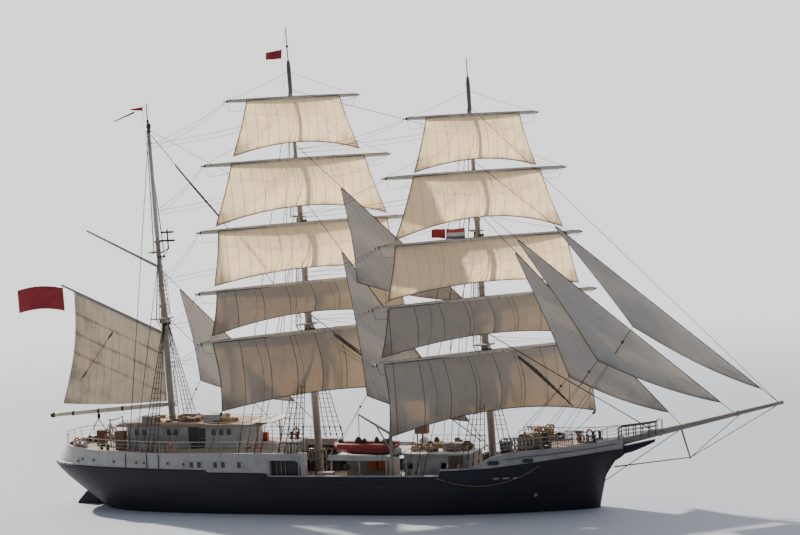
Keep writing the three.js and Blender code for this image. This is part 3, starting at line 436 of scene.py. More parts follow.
# Masts: x of the foot, rake in degrees, and (height, radius) up the pole
mastSizes = {
    "fore": {"x": 13.8, "rake": 1.66,
             "radii": [(0, .33), (14.6, .31), (14.7, .27), (23.9, .23), (24, .19), (33.6, .12), (33.7, .06),
                       (37.3, .04)]},
    "main": {"x": -1.49, "rake": 2.19,
             "radii": [(0, .33), (16.4, .31), (16.5, .27), (25.5, .23), (25.6, .19), (35.8, .12),
                       (35.9, .06), (40.7, .04)]},
    "mizzen": {"x": -14.74, "rake": 2.34,
               "radii": [(0, .30), (16.9, .28), (17, .23), (22.8, .20), (22.9, .16), (33.3, .10),
                         (33.4, .05), (34.9, .04)]},
}
rakeCentre = 4.8  # height of the point about which each mast is raked


def mastRadius(mast, height):
    # evenly between the radii given up the pole
    return float(np.interp(height, *zip(*mastSizes[mast]["radii"])))


def onMast(mast, points):
    # from ahead, port and height along a mast to the ship's own x, y and z
    x, rake = mastSizes[mast]["x"], radians(mastSizes[mast]["rake"])
    origin = np.array([x + rakeCentre * sin(rake), 0, rakeCentre * (1 - cos(rake))])
    axes = np.array([[cos(rake), 0, sin(rake)], [0, 1, 0], [-sin(rake), 0, cos(rake)]])
    return origin + np.asarray(points, dtype=float) @ axes


# Sails: height of the yard, its half length and radius, then the sail's half head and half foot,
# height of its clews, rise of its foot, and belly
braceAngle = 45.4
squareSails = {
    "fore_course": (12.85, 10.85, .23, 10.0, 9.9, 6.95, 1.25, 1.5),
    "fore_lower_topsail": (17.3, 10.85, .21, 9.2, 10.05, 13.4, 1.1, 1.2),
    "fore_upper_topsail": (22.23, 9.85, .19, 8.15, 9.1, 17.95, .85, 1.3),
    "fore_topgallant": (27.76, 8.75, .16, 6.0, 8.0, 22.75, 1.38, 1.2),
    "fore_royal": (32.5, 6.45, .13, 4.4, 5.8, 28.1, .8, .8),
    "main_course": (14.8, 10.5, .23, 9.3, 8.9, 9.1, .75, 1.4),
    "main_lower_topsail": (18.95, 10.3, .21, 8.5, 9.2, 15.4, 1.2, 1.1),
    "main_upper_topsail": (23.98, 9.75, .19, 7.9, 8.6, 19.5, .85, 1.3),
    "main_topgallant": (29.46, 8.85, .16, 6.2, 8.0, 24.45, 1.12, 1.2),
    "main_royal": (34.7, 6.35, .13, 4.3, 5.9, 30.1, .87, .8),
}
sailGrid = {"across": 49, "down": 33, "thickness": 0.012}
# How a square sail is cut: how far it stands off its mast and yard, the hollow of its leeches, and the part
# of its depth that swells
sailCut = {"parrel": 0.1, "rest": 0.0106, "headLift": 0.03, "leech": 0.1, "courseLeech": 0.25, "round": 0.8,
           "swellFrom": 0.08, "swellRun": 0.72, "headBack": 0.25, "footBack": 0.1}


def clothSizes(grid):
    # lengths along the middle row and column, and the area of the grid's quads, in metres
    rows, columns = grid.shape[0], grid.shape[1]
    width = np.linalg.norm(np.diff(grid[rows // 2], axis=0), axis=1).sum()
    length = np.linalg.norm(np.diff(grid[:, columns // 2], axis=0), axis=1).sum()
    across, down = grid[:-1, 1:] - grid[:-1, :-1], grid[1:, :-1] - grid[:-1, :-1]
    area = np.linalg.norm(np.cross(across, down), axis=-1).sum()
    return width, length, area


def addSail(name, body, material, grid, edge, stain, three=False):
    # a sail over its solid, mapped in metres, with its flat size from the lengths along its grid
    rows, columns = grid.shape[:2]
    _, length, area = clothSizes(grid)
    v, u = np.meshgrid(np.linspace(0, 1, rows), np.linspace(-0.5, 0.5, columns), indexing="ij")
    spread = np.linalg.norm(grid[:, -1] - grid[:, 0], axis=1)[:, None]
    uv = np.stack([u * spread, v * length], axis=-1)
    piece = addPiece(name + "_cloth", body, material, grid, gridFaces(rows, columns), uv=uv.reshape(-1, 2),
                     values={"edge": edge, "stain": stain})
    thicken(piece, sailGrid["thickness"])
    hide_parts(name)
    longest = np.linalg.norm(np.diff(grid, axis=0), axis=-1).sum(axis=0).max()
    widest = np.linalg.norm(np.diff(grid, axis=1), axis=-1).sum(axis=1).max()
    if three:
        widest = 2.1 * area / longest  # how far the clew stands from the luff
    flat = (widest * scale, longest * scale)
    share = area * scale ** 2 / (flat[0] * flat[1])
    area * scale ** 2 if share < 0.98 else None
    print("sheet", name, round(flat[0], 2), round(flat[1], 2), round(area * scale ** 2, 1))


def squareSailGrid(name, rows, columns):
    # a cloth bent to its yard: the belly swells ahead and the foot is cut in a curve
    mast = name.split("_")[0]
    height, _, radius, halfHead, halfFoot, clew, rise, belly = squareSails[name]
    v, s = np.meshgrid(np.linspace(0, 1, rows), np.linspace(-1, 1, columns), indexing="ij")
    middle = 1 - s * s
    cut = sailCut
    headAhead = mastRadius(mast, height) + cut["parrel"] + radius * (1 + cos(pi / 10)) + cut["rest"]
    hollow = cut["courseLeech"] if "course" in name else cut["leech"]
    spread = lerp(halfHead, halfFoot, v) - hollow * np.sin(pi * v)
    swell = np.sin(pi * (cut["swellFrom"] + cut["swellRun"] * v))
    depth = middle ** cut["round"] * swell - cut["headBack"] * (1 - v) * middle
    ahead = lerp(headAhead, headAhead - cut["footBack"], v) + belly * np.maximum(depth, 0)
    z = lerp(height + cut["headLift"], clew + rise * middle, v)
    return onMast(mast, turnAboutZ(np.stack([ahead, s * spread, z], axis=-1), -braceAngle))


def gridEdge(rows, columns, width, length):
    # distance to the nearest edge of a cloth, and the shares across and down it
    v, u = np.meshgrid(np.linspace(0, 1, rows), np.linspace(0, 1, columns), indexing="ij")
    return np.minimum(np.minimum(u, 1 - u) * width, np.minimum(v, 1 - v) * length), u, v


for name in squareSails:
    rows, columns = sailGrid["down"], sailGrid["across"]
    grid = squareSailGrid(name, rows, columns)
    width, length, _ = clothSizes(grid)
    edge, u, v = gridEdge(rows, columns, width, length)
    corner = np.exp(-((1 - v) * length / 0.9) ** 2) * np.exp(-(np.minimum(u, 1 - u) * width / 1.1) ** 2)
    reef = 0.16 * np.exp(-((v * length - 0.8) / 0.07) ** 2)
    foot = 0.35 * np.exp(-((1 - v) * length / 0.35) ** 2)
    heavy = "course" in name or "lower" in name
    stain = 0.2 * v ** 3 + 1.3 * corner + (0 if heavy else reef + foot)
    addSail(name, name + "_gear", heavyCloth if heavy else lightCloth, grid, edge, stain)
print("square sails ready")

# Staysails: head and tack of the stay's length as (x, z), clew, how far it is out to starboard, belly
staysails = {
    "outer_jib": ((19.95, 23.1), (36.2, 9.6), (26.15, 14.85), 1.0, .9),
    "inner_jib": ((16.75, 22.08), (32.95, 8.52), (23.3, 12.2), 1.7, .6),
    "fore_topmast_staysail": ((16.5, 21.05), (28.7, 7.75), (20.65, 10.8), .5, .5),
    "main_topgallant_staysail": ((1.6, 26.95), (12, 17.15), (2.7, 18.95), .4, .6),
    "main_topmast_staysail": ((1.45, 21.5), (11.9, 7.1), (3.15, 9.35), .4, .6),
    "mizzen_topmast_staysail": ((-13.5, 18.7), (-3.45, 8.9), (-11.95, 10.8), .3, .5),
}


def staysailGrid(name, rows, columns):
    # from the stay aft to the leech, narrowing to the head, with a belly to starboard
    head, tack, clew, clewOut, belly = staysails[name]
    slope = (head[1] - tack[1]) / (head[0] - tack[0])
    below = unit(np.array([slope, 0, -1.0])) * 0.018
    v, u = np.meshgrid(np.linspace(0, 1, rows)[:, None], np.linspace(0, 1, columns), indexing="ij")
    v, u = v.reshape(rows, columns)[..., None], u.reshape(rows, columns)[..., None]
    headPoint = np.array([head[0], 0, head[1]]) + below
    tackPoint = np.array([tack[0], 0, tack[1]]) + below
    clewPoint = np.array([clew[0], -clewOut, clew[1]])
    aft = lerp(headPoint, clewPoint, v)
    aft = aft + unit(tackPoint - aft) * 0.25 * np.sin(pi * v)
    fore = lerp(headPoint, tackPoint, v)
    width = np.linalg.norm(fore - aft, axis=-1, keepdims=True)
    board = 0.12 * (1 - v)
    out = belly * np.sin(pi * u ** 0.8) * np.minimum(width / 6, 1) * (0.35 + 0.65 * v)
    drop = 0.25 * v * v * np.sin(pi * u) + board * u * 0.2
    return lerp(fore, aft, u) - np.concatenate([board * u, out, drop], axis=-1)


for name in staysails:
    rows, columns = 33, 25
    grid = staysailGrid(name, rows, columns)
    width, length, _ = clothSizes(grid)
    spread = np.linalg.norm(grid[:, -1] - grid[:, 0], axis=1)[:, None]
    v, u = np.meshgrid(np.linspace(0, 1, rows), np.linspace(0, 1, columns), indexing="ij")
    edge = np.minimum(np.minimum(u, 1 - u) * spread, (1 - v) * length)
    corner = np.exp(-((1 - v) * length / 1.3) ** 2) * np.exp(-(np.minimum(u, 1 - u) * width / 1.5) ** 2)
    addSail(name, "ship", jibCloth, grid, edge, 0.2 * v ** 2 + 0.7 * corner, three=True)

spankerSize = {"throat": 14.95, "slope": 4.84 / 8.8, "lacing": 0.1, "tack": (.35, 9.03), "clew": (9.75, 9.4),
               "luff": .3, "peak": 7.9, "belly": .7, "turn": 8, "hollow": .5, "footSag": 0.2,
               "reefs": (1.85, 3.6, 5.3), "reefWidth": 0.11, "rows": 97, "columns": 33,
               "brail": ((27, 19), (69, 27))}


def spankerGrid():
    # between gaff, mast and boom, with a hollow leech and the belly to port
    s = spankerSize
    v, u = np.meshgrid(np.linspace(0, 1, s["rows"]), np.linspace(0, 1, s["columns"]), indexing="ij")
    headZ = [s["throat"] + s["slope"] * (out - 0.2) - s["lacing"] for out in (s["luff"], s["peak"])]
    out = lerp(lerp(s["luff"], s["peak"], u), lerp(s["tack"][0], s["clew"][0], u), v)
    out = out - s["hollow"] * u ** 3 * np.sin(pi * v)
    z = lerp(lerp(headZ[0], headZ[1], u), lerp(s["tack"][1], s["clew"][1], u), v)
    belly = s["belly"] * np.sin(pi * u ** 0.8) * np.sin(pi * 0.8 * v)
    points = np.stack([-out, belly, z - s["footSag"] * v * np.sin(pi * u)], axis=-1)
    return onMast("mizzen", turnAboutZ(points, s["turn"]))


grid = spankerGrid()
rows, columns = grid.shape[:2]
width, length, _ = clothSizes(grid)
edge, u, v = gridEdge(rows, columns, width, length)
drop = v * np.linalg.norm(grid[-1] - grid[0], axis=-1)
reefs = sum(np.exp(-((drop - level) / spankerSize["reefWidth"]) ** 2) for level in spankerSize["reefs"])
addSail("spanker", "spanker_gear", spankerCloth, grid, edge, 0.15 * v ** 2 + 0.6 * u ** 4 + 0.8 * reefs)
lacing = Shape()
for tie in grid[0, 1:-1]:
    lacing.tube([tie + [-0.12, -0.16, -0.2], tie + [0.04, -0.16, -0.1]], 0.05, 5)
lacing.fit("spanker_lacing", paleLine, "canvas", "spanker_gear")
brail = Shape()
centres = [grid[row, column] + np.array([0, -0.1, 0]) for row, column in spankerSize["brail"]]
for centre in centres:
    near, far = np.array([0.12, 0, 0.15]), np.array([0.25, 0, 0.3])
    brail.tube([centre - far, centre - near, centre + near, centre + far], [0.03, 0.07, 0.07, 0.03], 8)
brail.tube(centres, 0.02, 5)
brail.fit("spanker_brail", darkRope, "wire", "spanker_gear")

ensignSize = {"out": 8.9, "fly": 4.2, "hoist": 2.0, "below": 0.2, "ripple": 0.2, "lift": 0.3}


def ensignGrid(rows, columns):
    # streaming aft from its halyard under the peak, rippling more towards the fly
    s = ensignSize
    v, u = np.meshgrid(np.linspace(0, 1, rows), np.linspace(0, 1, columns), indexing="ij")
    top = spankerSize["throat"] + 4.84 * (s["out"] / 9) - s["below"]
    points = np.stack([-s["out"] - s["fly"] * u, s["ripple"] * np.sin(7 * u) * u,
                       top - s["hoist"] * v + s["lift"] * np.sin(3 * u)], axis=-1)
    return onMast("mizzen", turnAboutZ(points, spankerSize["turn"]))


grid = ensignGrid(17, 33)
edge, u, v = gridEdge(17, 33, ensignSize["fly"], ensignSize["hoist"])
addSail("ensign", "spanker_gear", redBunting, grid, edge, v * 0)
print("fore-and-aft sails ready")

# Edges of the sails, and the ropes that move with each yard
ropeSizes = {"bolt": 0.032, "shroud": 0.034, "ratline": 0.022, "run": 0.014, "brace": 0.018}


def edgeOf(grid):
    # the grid's border, once round
    return np.concatenate([grid[0], grid[1:, -1], grid[-1, -2::-1], grid[-2:0:-1, 0]])


def straight(a, b, steps=2, sag=0.0):
    # from a to b, with a sag that is deepest at the middle
    t = np.linspace(0, 1, steps)[:, None]
    path = lerp(np.asarray(a, dtype=float), np.asarray(b, dtype=float), t)
    path[:, 2] -= 4 * sag * (t * (1 - t))[:, 0]
    return path


def onYard(mast, height, aside, ahead=0.0, up=0.0):
    # a point beside a braced yard, its distance from the mast given along the yard
    radius = next(s[2] for n, s in squareSails.items() if n.startswith(mast) and s[0] == height)
    offset = mastRadius(mast, height) + sailCut["parrel"] + radius + ahead
    return onMast(mast, turnAboutZ(np.array([offset, aside, height + up]), -braceAngle))


liftTops = {
    "fore_course": 16.6, "fore_lower_topsail": 21.0, "fore_upper_topsail": 24.4, "fore_topgallant": 31.6,
    "fore_royal": 34.6, "main_course": 18.3, "main_lower_topsail": 22.6, "main_upper_topsail": 26.6,
    "main_topgallant": 33.6, "main_royal": 37.0,
}
yardGear = {"coat": 0.045, "jackstay": 0.018, "footrope": (0.6, 0.35), "footropeDrop": 0.75, "lag": 0.12,
            "clewBlock": 0.35, "gaskets": 9, "gasketTurns": 4, "roband": 0.62}
yardTaper = ([0, 0.35, 0.72, 1], [1, 1, 0.8, 0.45])  # share of the half length, share of the radius


def yardRopes(name, mast, height, halfLength, radius, halfHead):
    # the ropes of one yard, from the bolt rope of its sail to its lifts
    grid = squareSailGrid(name, 25, 41)
    run = ropeSizes["run"]
    ropes = Shape().tube(edgeOf(grid), ropeSizes["bolt"], 6, closed=True)
    # buntlines down the fore side of the sail, and clewlines behind it
    ahead = turnAboutZ(np.array([1.0, 0, 0]), -braceAngle)
    for column in (10, 30) if radius < 0.2 else (8, 16, 24, 32):
        ropes.tube(grid[:, column] + ahead * 0.03, run * 0.7, 4)
    for side, way in ((0, -1), (-1, 1)):
        quarter = onYard(mast, height, way * halfHead * yardGear["clewBlock"], -radius, -radius)
        ropes.tube(straight(grid[-1, side], quarter, 6, 0.15) - ahead * 0.12, run, 4)
    # footropes with their stirrups, hung behind the yard
    for side in (-1, 1):
        inner, outer = yardGear["footrope"][0], halfLength - yardGear["footrope"][1]
        along = np.linspace(inner, outer, 25) * side
        lag = np.abs(np.sin(np.linspace(0, 4 * pi, 25))) * yardGear["lag"]
        points = np.array([onYard(mast, height, y, -radius - 0.12, -yardGear["footropeDrop"] - d)
                           for y, d in zip(along, lag)])
        points[0] = onYard(mast, height, inner * side, -radius * 0.9, 0)
        points[-1] = onYard(mast, height, outer * side, -radius * 0.3, 0)
        ropes.tube(points, run * 1.2, 5)
        for k in (6, 12, 18):
            ropes.tube(straight(onYard(mast, height, along[k], -radius * 0.9, 0.02), points[k]), run, 4)
        # lift from the yardarm to the mast
        arm = onYard(mast, height, side * (halfLength - 0.2), 0, radius * 0.3)
        head = onMast(mast, [mastRadius(mast, liftTops[name]) * 0.6, side * 0.12, liftTops[name]])
        ropes.tube(straight(arm, head, 8, 0.12), run * 1.1, 4)
    jackstay = np.array([onYard(mast, height, y, radius * 0.45,
                                radius * np.interp(abs(y) / halfLength, *yardTaper) + 0.05)
                         for y in np.linspace(-halfLength + 0.3, halfLength - 0.3, 41)])
    ropes.tube(jackstay, yardGear["jackstay"], 5)
    ropes.fit(name + "_ropes", darkRope, "wire", name + "_gear")


def yardTies(name, mast, height, halfLength, radius, halfHead):
    # robands that tie the head to the jackstay, and gaskets over the yard
    ties = Shape()
    seed = np.random.default_rng(int(height * 10))
    for y in np.arange(-halfHead + 0.25, halfHead - 0.2, yardGear["roband"]):
        ties.tube(np.array([onYard(mast, height, y, radius * 0.2, radius + 0.05),
                            onYard(mast, height, y, radius * 0.9, radius * 0.2),
                            onYard(mast, height, y, radius + 0.03, -0.12)]), 0.022, 5)
    for y in seed.uniform(-halfHead * 0.95, halfHead * 0.95, yardGear["gaskets"]):
        r = radius * np.interp(abs(y) / halfLength, *yardTaper) + 0.03
        for k in range(yardGear["gasketTurns"]):
            loop = np.array([onYard(mast, height, y + 0.07 * k, r * cos(t), r * sin(t))
                             for t in aroundCircle(10)])
            ties.tube(loop, 0.028, 4, closed=True)
    ties.fit(name + "_gaskets", paleRope, "canvas", name + "_gear")


def yardMetal(name, mast, height, halfLength, radius, halfHead):
    # iron bands and caps of the yardarms, and a coat of paint over the whole yard
    bands, coat = Shape(), Shape()
    axis = onYard(mast, height, 1.0) - onYard(mast, height, 0.0)
    cap = radius * 0.42
    for side in (-1, 1):
        for y, thick in ((halfLength - 0.28, 0.05), (halfLength - 1.1, 0.035), (halfHead + 0.15, 0.04),
                         (1.1, 0.05)):
            r = radius * np.interp(y / halfLength, *yardTaper)
            bands.turned([(r - 0.02, -0.06), (r + thick, -0.05), (r + thick, 0.05), (r - 0.02, 0.06)],
                         onYard(mast, height, side * y), axis, 10)
        bands.turned([(0.01, -0.12), (cap, -0.1), (cap, 0.02), (0.01, 0.03)],
                     onYard(mast, height, side * (halfLength + 0.02)), axis * side, 10)
    bands.fit(name + "_yard_bands", darkIron, "wire", name + "_gear")
    reach = halfLength - 0.3
    coat.turned([(radius * np.interp(abs(y) / halfLength, *yardTaper) + yardGear["coat"], y)
                 for y in np.linspace(-reach, reach, 31)], onYard(mast, height, 0.0), axis, 14)
    coat.fit(name + "_yard_coat", yardPaint, "yard_grey", name + "_gear")


for name, size in squareSails.items():
    for rigging in (yardRopes, yardTies, yardMetal):
        rigging(name, name.split("_")[0], *size[:4])
print("yards rigged")

# Braces: from each yardarm to the next mast aft, led between its sails
braceLeads = {
    "fore_course": ("main", 16.0), "fore_lower_topsail": ("main", 16.2), "fore_upper_topsail": ("main", 19.9),
    "fore_topgallant": ("main", 24.9), "fore_royal": ("main", 30.4), "main_course": ("mizzen", 12.4),
    "main_lower_topsail": ("mizzen", 15.6), "main_upper_topsail": ("mizzen", 19.6),
    "main_topgallant": ("mizzen", 25.6), "main_royal": ("mizzen", 31.4),
}
for name, (leadMast, leadHeight) in braceLeads.items():
    mast = name.split("_")[0]
    height, halfLength = squareSails[name][:2]
    for side, word in ((-1, "starboard"), (1, "port")):
        arm = onYard(mast, height, side * (halfLength - 0.15), -0.05, -0.05)
        lead = onMast(leadMast, [mastRadius(leadMast, leadHeight) * 0.4, side * 0.22, leadHeight])
        brace = Shape()
        brace.tube(straight(arm, lead, 25, 0.35), ropeSizes["brace"], 5)
        brace.tube(straight(arm + [0, 0, -0.12], lead + [0, 0, -0.35], 25, 0.5),
                   ropeSizes["brace"] * 0.8, 5)
        brace.span(name + "_brace_" + word, name + "_gear", arm, lead)
print("braces led")

# The spanker's boom: its height at the mast and its drop for each metre out, then how far out its coat,
# bands and sheets' block are, and how far fore and aft and where on deck the sheets land
boom = {"height": 8.75, "drop": 0.3 / 11, "coat": (0.7, 10.75),
        "radii": [0.19] * 16 + [0.185, 0.18, 0.175, 0.17, 0.165],
        "bands": (4.4, 6.6, 8.9), "block": 6.6, "sheetReach": 1.6, "sheetLanding": (-1.1, 5.2)}


def boomPoint(out):
    # a point on the boom's middle line, which falls evenly from the mast out
    local = np.array([-out, 0, boom["height"] - boom["drop"] * out])
    return onMast("mizzen", turnAboutZ(local, spankerSize["turn"]))


boomCoat = Shape().tube([boomPoint(out) for out in np.linspace(*boom["coat"], 21)], boom["radii"], 14)
boomCoat.fit("spanker_boom_coat", creamPaint, "mast_buff", "spanker_gear")
boomBands = Shape().tube([boomPoint(out) for out in (10.55, 10.6, 10.93, 10.96)],
                         [0.12, 0.22, 0.21, 0.12], 14)
for out in boom["bands"]:
    boomBands.tube([boomPoint(out + step) for step in (-0.11, -0.1, 0.1, 0.11)],
                   [0.17, 0.215, 0.215, 0.17], 14)
boomBands.fit("spanker_boom_bands", darkIron, "wire", "spanker_gear")
block = boomPoint(boom["block"]) - [0, 0, 0.2]
for word, way in (("a", -1), ("b", 1)):
    landing = np.array([block[0] + way * boom["sheetReach"], *boom["sheetLanding"]])
    tackle = Shape().tube(straight(block - [0, 0, 0.5], landing, 15), 0.024, 5)
    tackle.tube(straight(block - [0.08, 0.06, 0.5], landing + [0.1, 0.06, 0], 15), 0.02, 5)
    tackle.tube([block - [0, 0, down] for down in (0, 0.15, 0.4, 0.55)], [0.04, 0.14, 0.14, 0.04], 8)
    tackle.span("boom_sheet_" + word, "spanker_gear", block, landing)

# Edges and hanks of the fore-and-aft sails
for name in staysails:
    grid = staysailGrid(name, 25, 19)
    ropes = Shape().tube(edgeOf(grid)[:-1], ropeSizes["bolt"] * 0.8, 6, closed=True)
    head, tack = staysails[name][:2]
    for t in np.linspace(0.02, 0.98, 22):
        point = np.array([lerp(head[0], tack[0], t), 0, lerp(head[1], tack[1], t)])
        around = aroundCircle(8)
        loop = point + np.stack([0.0 * around, 0.07 * np.cos(around), 0.07 * np.sin(around) - 0.02],
                                axis=-1)
        ropes.tube(loop, 0.014, 4, closed=True)
    ropes.fit(name + "_ropes", darkRope, "wire")

# The hull's lines, smooth over its stations: x, lowest z, half-breadth, fullness
hullStations = np.array([
    [-25.4, 3.5, .3, 1.2], [-25.2, 3.1, 1.5, 1.3], [-24.6, 2.45, 2.6, 1.3], [-23.4, 1.5, 3.6, 1.35],
    [-21.5, .2, 4.4, 1.5], [-18, -2.1, 4.95, 1.7], [-13, -3.3, 5.2, 2.1], [-6, -4.05, 5.3, 2.6],
    [2, -4.2, 5.3, 2.7], [9, -4.2, 5.15, 2.3], [14, -4.1, 4.6, 1.85], [18, -3.8, 3.6, 1.55],
    [21, -2.9, 2.35, 1.3], [22.5, -.9, 1.6, 1.15], [23.3, 2.6, 1.15, 1], [24.9, 4.35, .5, 1],
])
topsideEdge = [(-25.4, 4.02), (-22, 4.0), (-17, 3.88), (-13.7, 3.79), (-9.8, 3.73), (-9.7, 3.54),
               (-4.32, 3.48), (-4.2, 3.2), (10.5, 3.2), (10.6, 3.67), (14.4, 3.79), (24.9, 4.88)]
forecastleTop = [(13.0, 3.86), (13.54, 3.98), (14.27, 4.42), (14.95, 4.75), (15.7, 4.9), (17.3, 5.1),
                 (20.7, 5.25), (23.0, 5.46), (24.9, 5.78)]
quarterdeckRim = [(-25.2, 5.6), (-23.0, 5.5), (-21.0, 5.36), (-17.0, 5.2), (-13.7, 5.1), (-1.0, 5.1)]
sternLean = [(-25.2, .85), (-23.4, .6), (-21.5, .25), (-19.0, 0)]
keelHalf = 0.16


def along(line, x):
    # evenly between the (x, height) points of a line
    return np.interp(x, *np.array(line).T)


def station(x):
    # cubic through the stations, its slope at each the slope between its neighbours
    x = np.asarray(x, dtype=float)
    knots, rows = hullStations[:, 0], hullStations[:, 1:]
    i = np.clip(np.searchsorted(knots, x, side="right"), 1, len(knots) - 1)
    before = np.where(i > 1, i - 2, i)
    after = np.where(i < len(knots) - 1, i + 1, i - 1)
    t0, t1 = knots[i - 1], knots[i]
    halfStep = (t1 - t0) * 0.5
    wPrevious = halfStep / (t0 - knots[before])
    wNext = halfStep / (knots[after] - t1)
    p = (x - t0) / (t1 - t0)
    weights = np.stack([
        -wPrevious * p ** 3 + 2 * wPrevious * p ** 2 - wPrevious * p,
        (1 + wPrevious) * p ** 3 + (-1.5 - 2 * wPrevious) * p ** 2 + (-0.5 + wPrevious) * p + 1,
        (-1 - wNext) * p ** 3 + (1.5 + wNext) * p ** 2 + 0.5 * p,
        wNext * p ** 3 - wNext * p ** 2], axis=-1)
    four = np.stack([rows[before], rows[i - 1], rows[i], rows[after]], axis=-2)
    return np.einsum("...k,...kj->...j", weights, four)


def halfAt(x):
    # the hull's greatest half-breadth
    return station(x)[..., 1]


def hullHalf(x, z):
    # the keel's half-breadth at the bottom, growing as a superellipse to the station's at the upper edge
    bottom, half, fullness = np.moveaxis(station(x), -1, 0)
    t = np.clip((z - bottom) / (along(topsideEdge, x) - bottom), 0, 1)
    return keelHalf + (half - keelHalf) * (1 - (1 - t) ** fullness) ** (1 / fullness)


# Black plating over the hull: lapped strakes
plating = {"out": 0.045, "lap": 0.012, "strakes": 9, "rows": 73, "columns": 181, "thickness": 0.02}
x = np.union1d(np.linspace(-25.39, 24.88, plating["columns"]), [-9.8, -9.7, -4.32, -4.2, 10.5, 10.6])
share = np.linspace(0.0, 1, plating["rows"])[:, None]
bottom = station(x)[:, 0]
z = bottom + (along(topsideEdge, x) - 0.01 - bottom) * share ** 1.4
lap = plating["lap"] * ((share * plating["strakes"]) % 1.0 < 0.5)
for side, word in ((-1, "starboard"), (1, "port")):
    half = hullHalf(x, z)
    slope = np.gradient(half, x, axis=1)
    grow = plating["out"] + lap
    grid = np.stack([x - slope * grow, side * (half + grow), z], axis=-1)
    grid[..., 0] = np.clip(grid[..., 0], -25.46, 24.93)
    faces = gridFaces(*grid.shape[:2])
    shell = addPiece("hull_plating_" + word, "ship", hullPaint, grid, faces if side < 0 else faces[:, ::-1])
    thicken(shell, plating["thickness"], -1.0)


def leanIn(points):
    # the stern's side leans forward as it rises from the black edge to the rim
    x, z = points[..., 0], points[..., 2]
    low, high = along(topsideEdge, x), along(quarterdeckRim, x)
    return points + np.stack([along(sternLean, x) * (z - low) / (high - low), 0 * x, 0 * x], axis=-1)


def sideStrip(name, material, xs, inset, profile, stern=False):
    # a profile of (outward, height) carried along the ship's side, and round the stern where it is asked for
    x = np.asarray(xs, dtype=float)
    y = -(halfAt(x) - inset)
    path = np.stack([x, y], axis=-1)
    paths = [path, path * [1, -1]]
    if stern:
        across = np.linspace(path[-1, 1], -path[-1, 1], 7)[1:-1]
        end = np.stack([np.full(5, path[-1, 0]), across], axis=-1)
        paths = [np.concatenate([path, end, (path * [1, -1])[::-1]])]
    whole = Shape()
    for route in paths:
        ahead = unit(np.gradient(route, axis=0))
        out = np.stack([ahead[:, 1], -ahead[:, 0]], axis=-1)
        if (out[len(out) // 4] * route[len(out) // 4])[1] < 0:
            out = -out
        heights = profile(route[:, 0])
        points = np.stack([np.concatenate([route + out * o, h[:, None]], axis=-1) for o, h in heights],
                          axis=1)
        points = leanIn(points) if stern else points
        rows, sides = points.shape[:2]
        faces = gridFaces(rows, sides, True)
        ends = [list(range(sides)), list(range(rows * sides - 1, (rows - 1) * sides - 1, -1))]
        whole.add(points, [list(f) for f in faces] + [e[::-1] for e in ends])
    piece = whole.piece(name, "ship", material, smooth=False)
    turnOut(piece)
    return piece


def turnOut(piece):
    # point every face outwards
    tool = bmesh.new()
    tool.from_mesh(piece.data)
    bmesh.ops.recalc_face_normals(tool, faces=tool.faces)
    tool.to_mesh(piece.data)
    tool.free()


def quarterdeckBand(x):
    # mouldings along the foot and head, and a rail that reaches inboard
    low, top = along(topsideEdge, x) + 0.02, along(quarterdeckRim, x)
    return [(-0.01, low), (0.06, low), (0.07, low + 0.05), (0.06, low + 0.1), (0.03, low + 0.13),
            (0.03, top - 0.12), (0.06, top - 0.09), (0.07, top + 0.03), (-0.26, top + 0.03),
            (-0.26, top + 0.01), (-0.01, top + 0.01)]


quarterdeckX = np.union1d(np.linspace(-4.2, -25.19, 90), [-9.8, -9.7])[::-1]
sideStrip("quarterdeck_band", whitePaint, quarterdeckX, 0.06, quarterdeckBand, stern=True)


def forecastleBand(x):
    # mouldings along the foot, middle and head, and a rail that reaches inboard
    low, top = along(topsideEdge, x) + 0.01, along(forecastleTop, x)
    room = top - low
    steps = ((-0.01, 0), (0.05, 0), (0.06, .05), (0.05, .1), (0.015, .13), (0.015, .36), (0.06, .38),
             (0.06, .45), (0.015, .47), (0.015, .68), (0.05, .70), (0.05, .76), (0.015, .78), (0.015, .93),
             (0.06, .95))
    return [(out, low + room * t) for out, t in steps] + [
        (0.06, top + 0.03), (-0.22, top + 0.03), (-0.22, top + 0.01), (-0.01, top + 0.01)]


bandX = np.union1d(np.linspace(13.02, 24.86, 60), [x for x, _ in forecastleTop[1:-1]])
sideStrip("forecastle_band", whitePaint, bandX, 0.05, forecastleBand)


def waistRail(x):
    # a flat rail on the edge of the bulwark
    top = along(topsideEdge, x)
    return [(0.05, top + 0.01), (0.06, top + 0.09), (-0.24, top + 0.09), (-0.24, top + 0.01)]


railX = np.union1d(np.linspace(-4.1, 12.97, 60), [10.5, 10.6])
sideStrip("waist_rail", whitePaint, railX, 0.0, waistRail)


plankThickness = 0.015


def deckSheet(name, xs, inset, height, lean=False):
    # planks laid fore and aft inside the bulwarks
    x = np.asarray(xs, dtype=float)
    half = halfAt(x - along(sternLean, x) * lean) - inset
    u = np.linspace(-1, 1, 9)
    z = height(x) if callable(height) else np.full(len(x), height)
    grid = np.stack([x[:, None] + 0 * u, half[:, None] * u, z[:, None] + 0 * u], axis=-1)
    piece = addPiece(name, "ship", deckPlanks, grid, gridFaces(len(x), 9), smooth=False)
    thicken(piece, plankThickness)
    turnOut(piece)


deckSheet("main_deck_planks", np.linspace(-4.1, 14.85, 40), 0.18, 2.215)
deckSheet("quarterdeck_planks", np.linspace(-24.05, -4.25, 50), 0.42, 5.115, lean=True)
deckSheet("forecastle_planks", np.linspace(15.05, 24.7, 30), 0.33,
          lambda x: along(forecastleTop, x) + 0.015)
print("hull plated and decks laid")


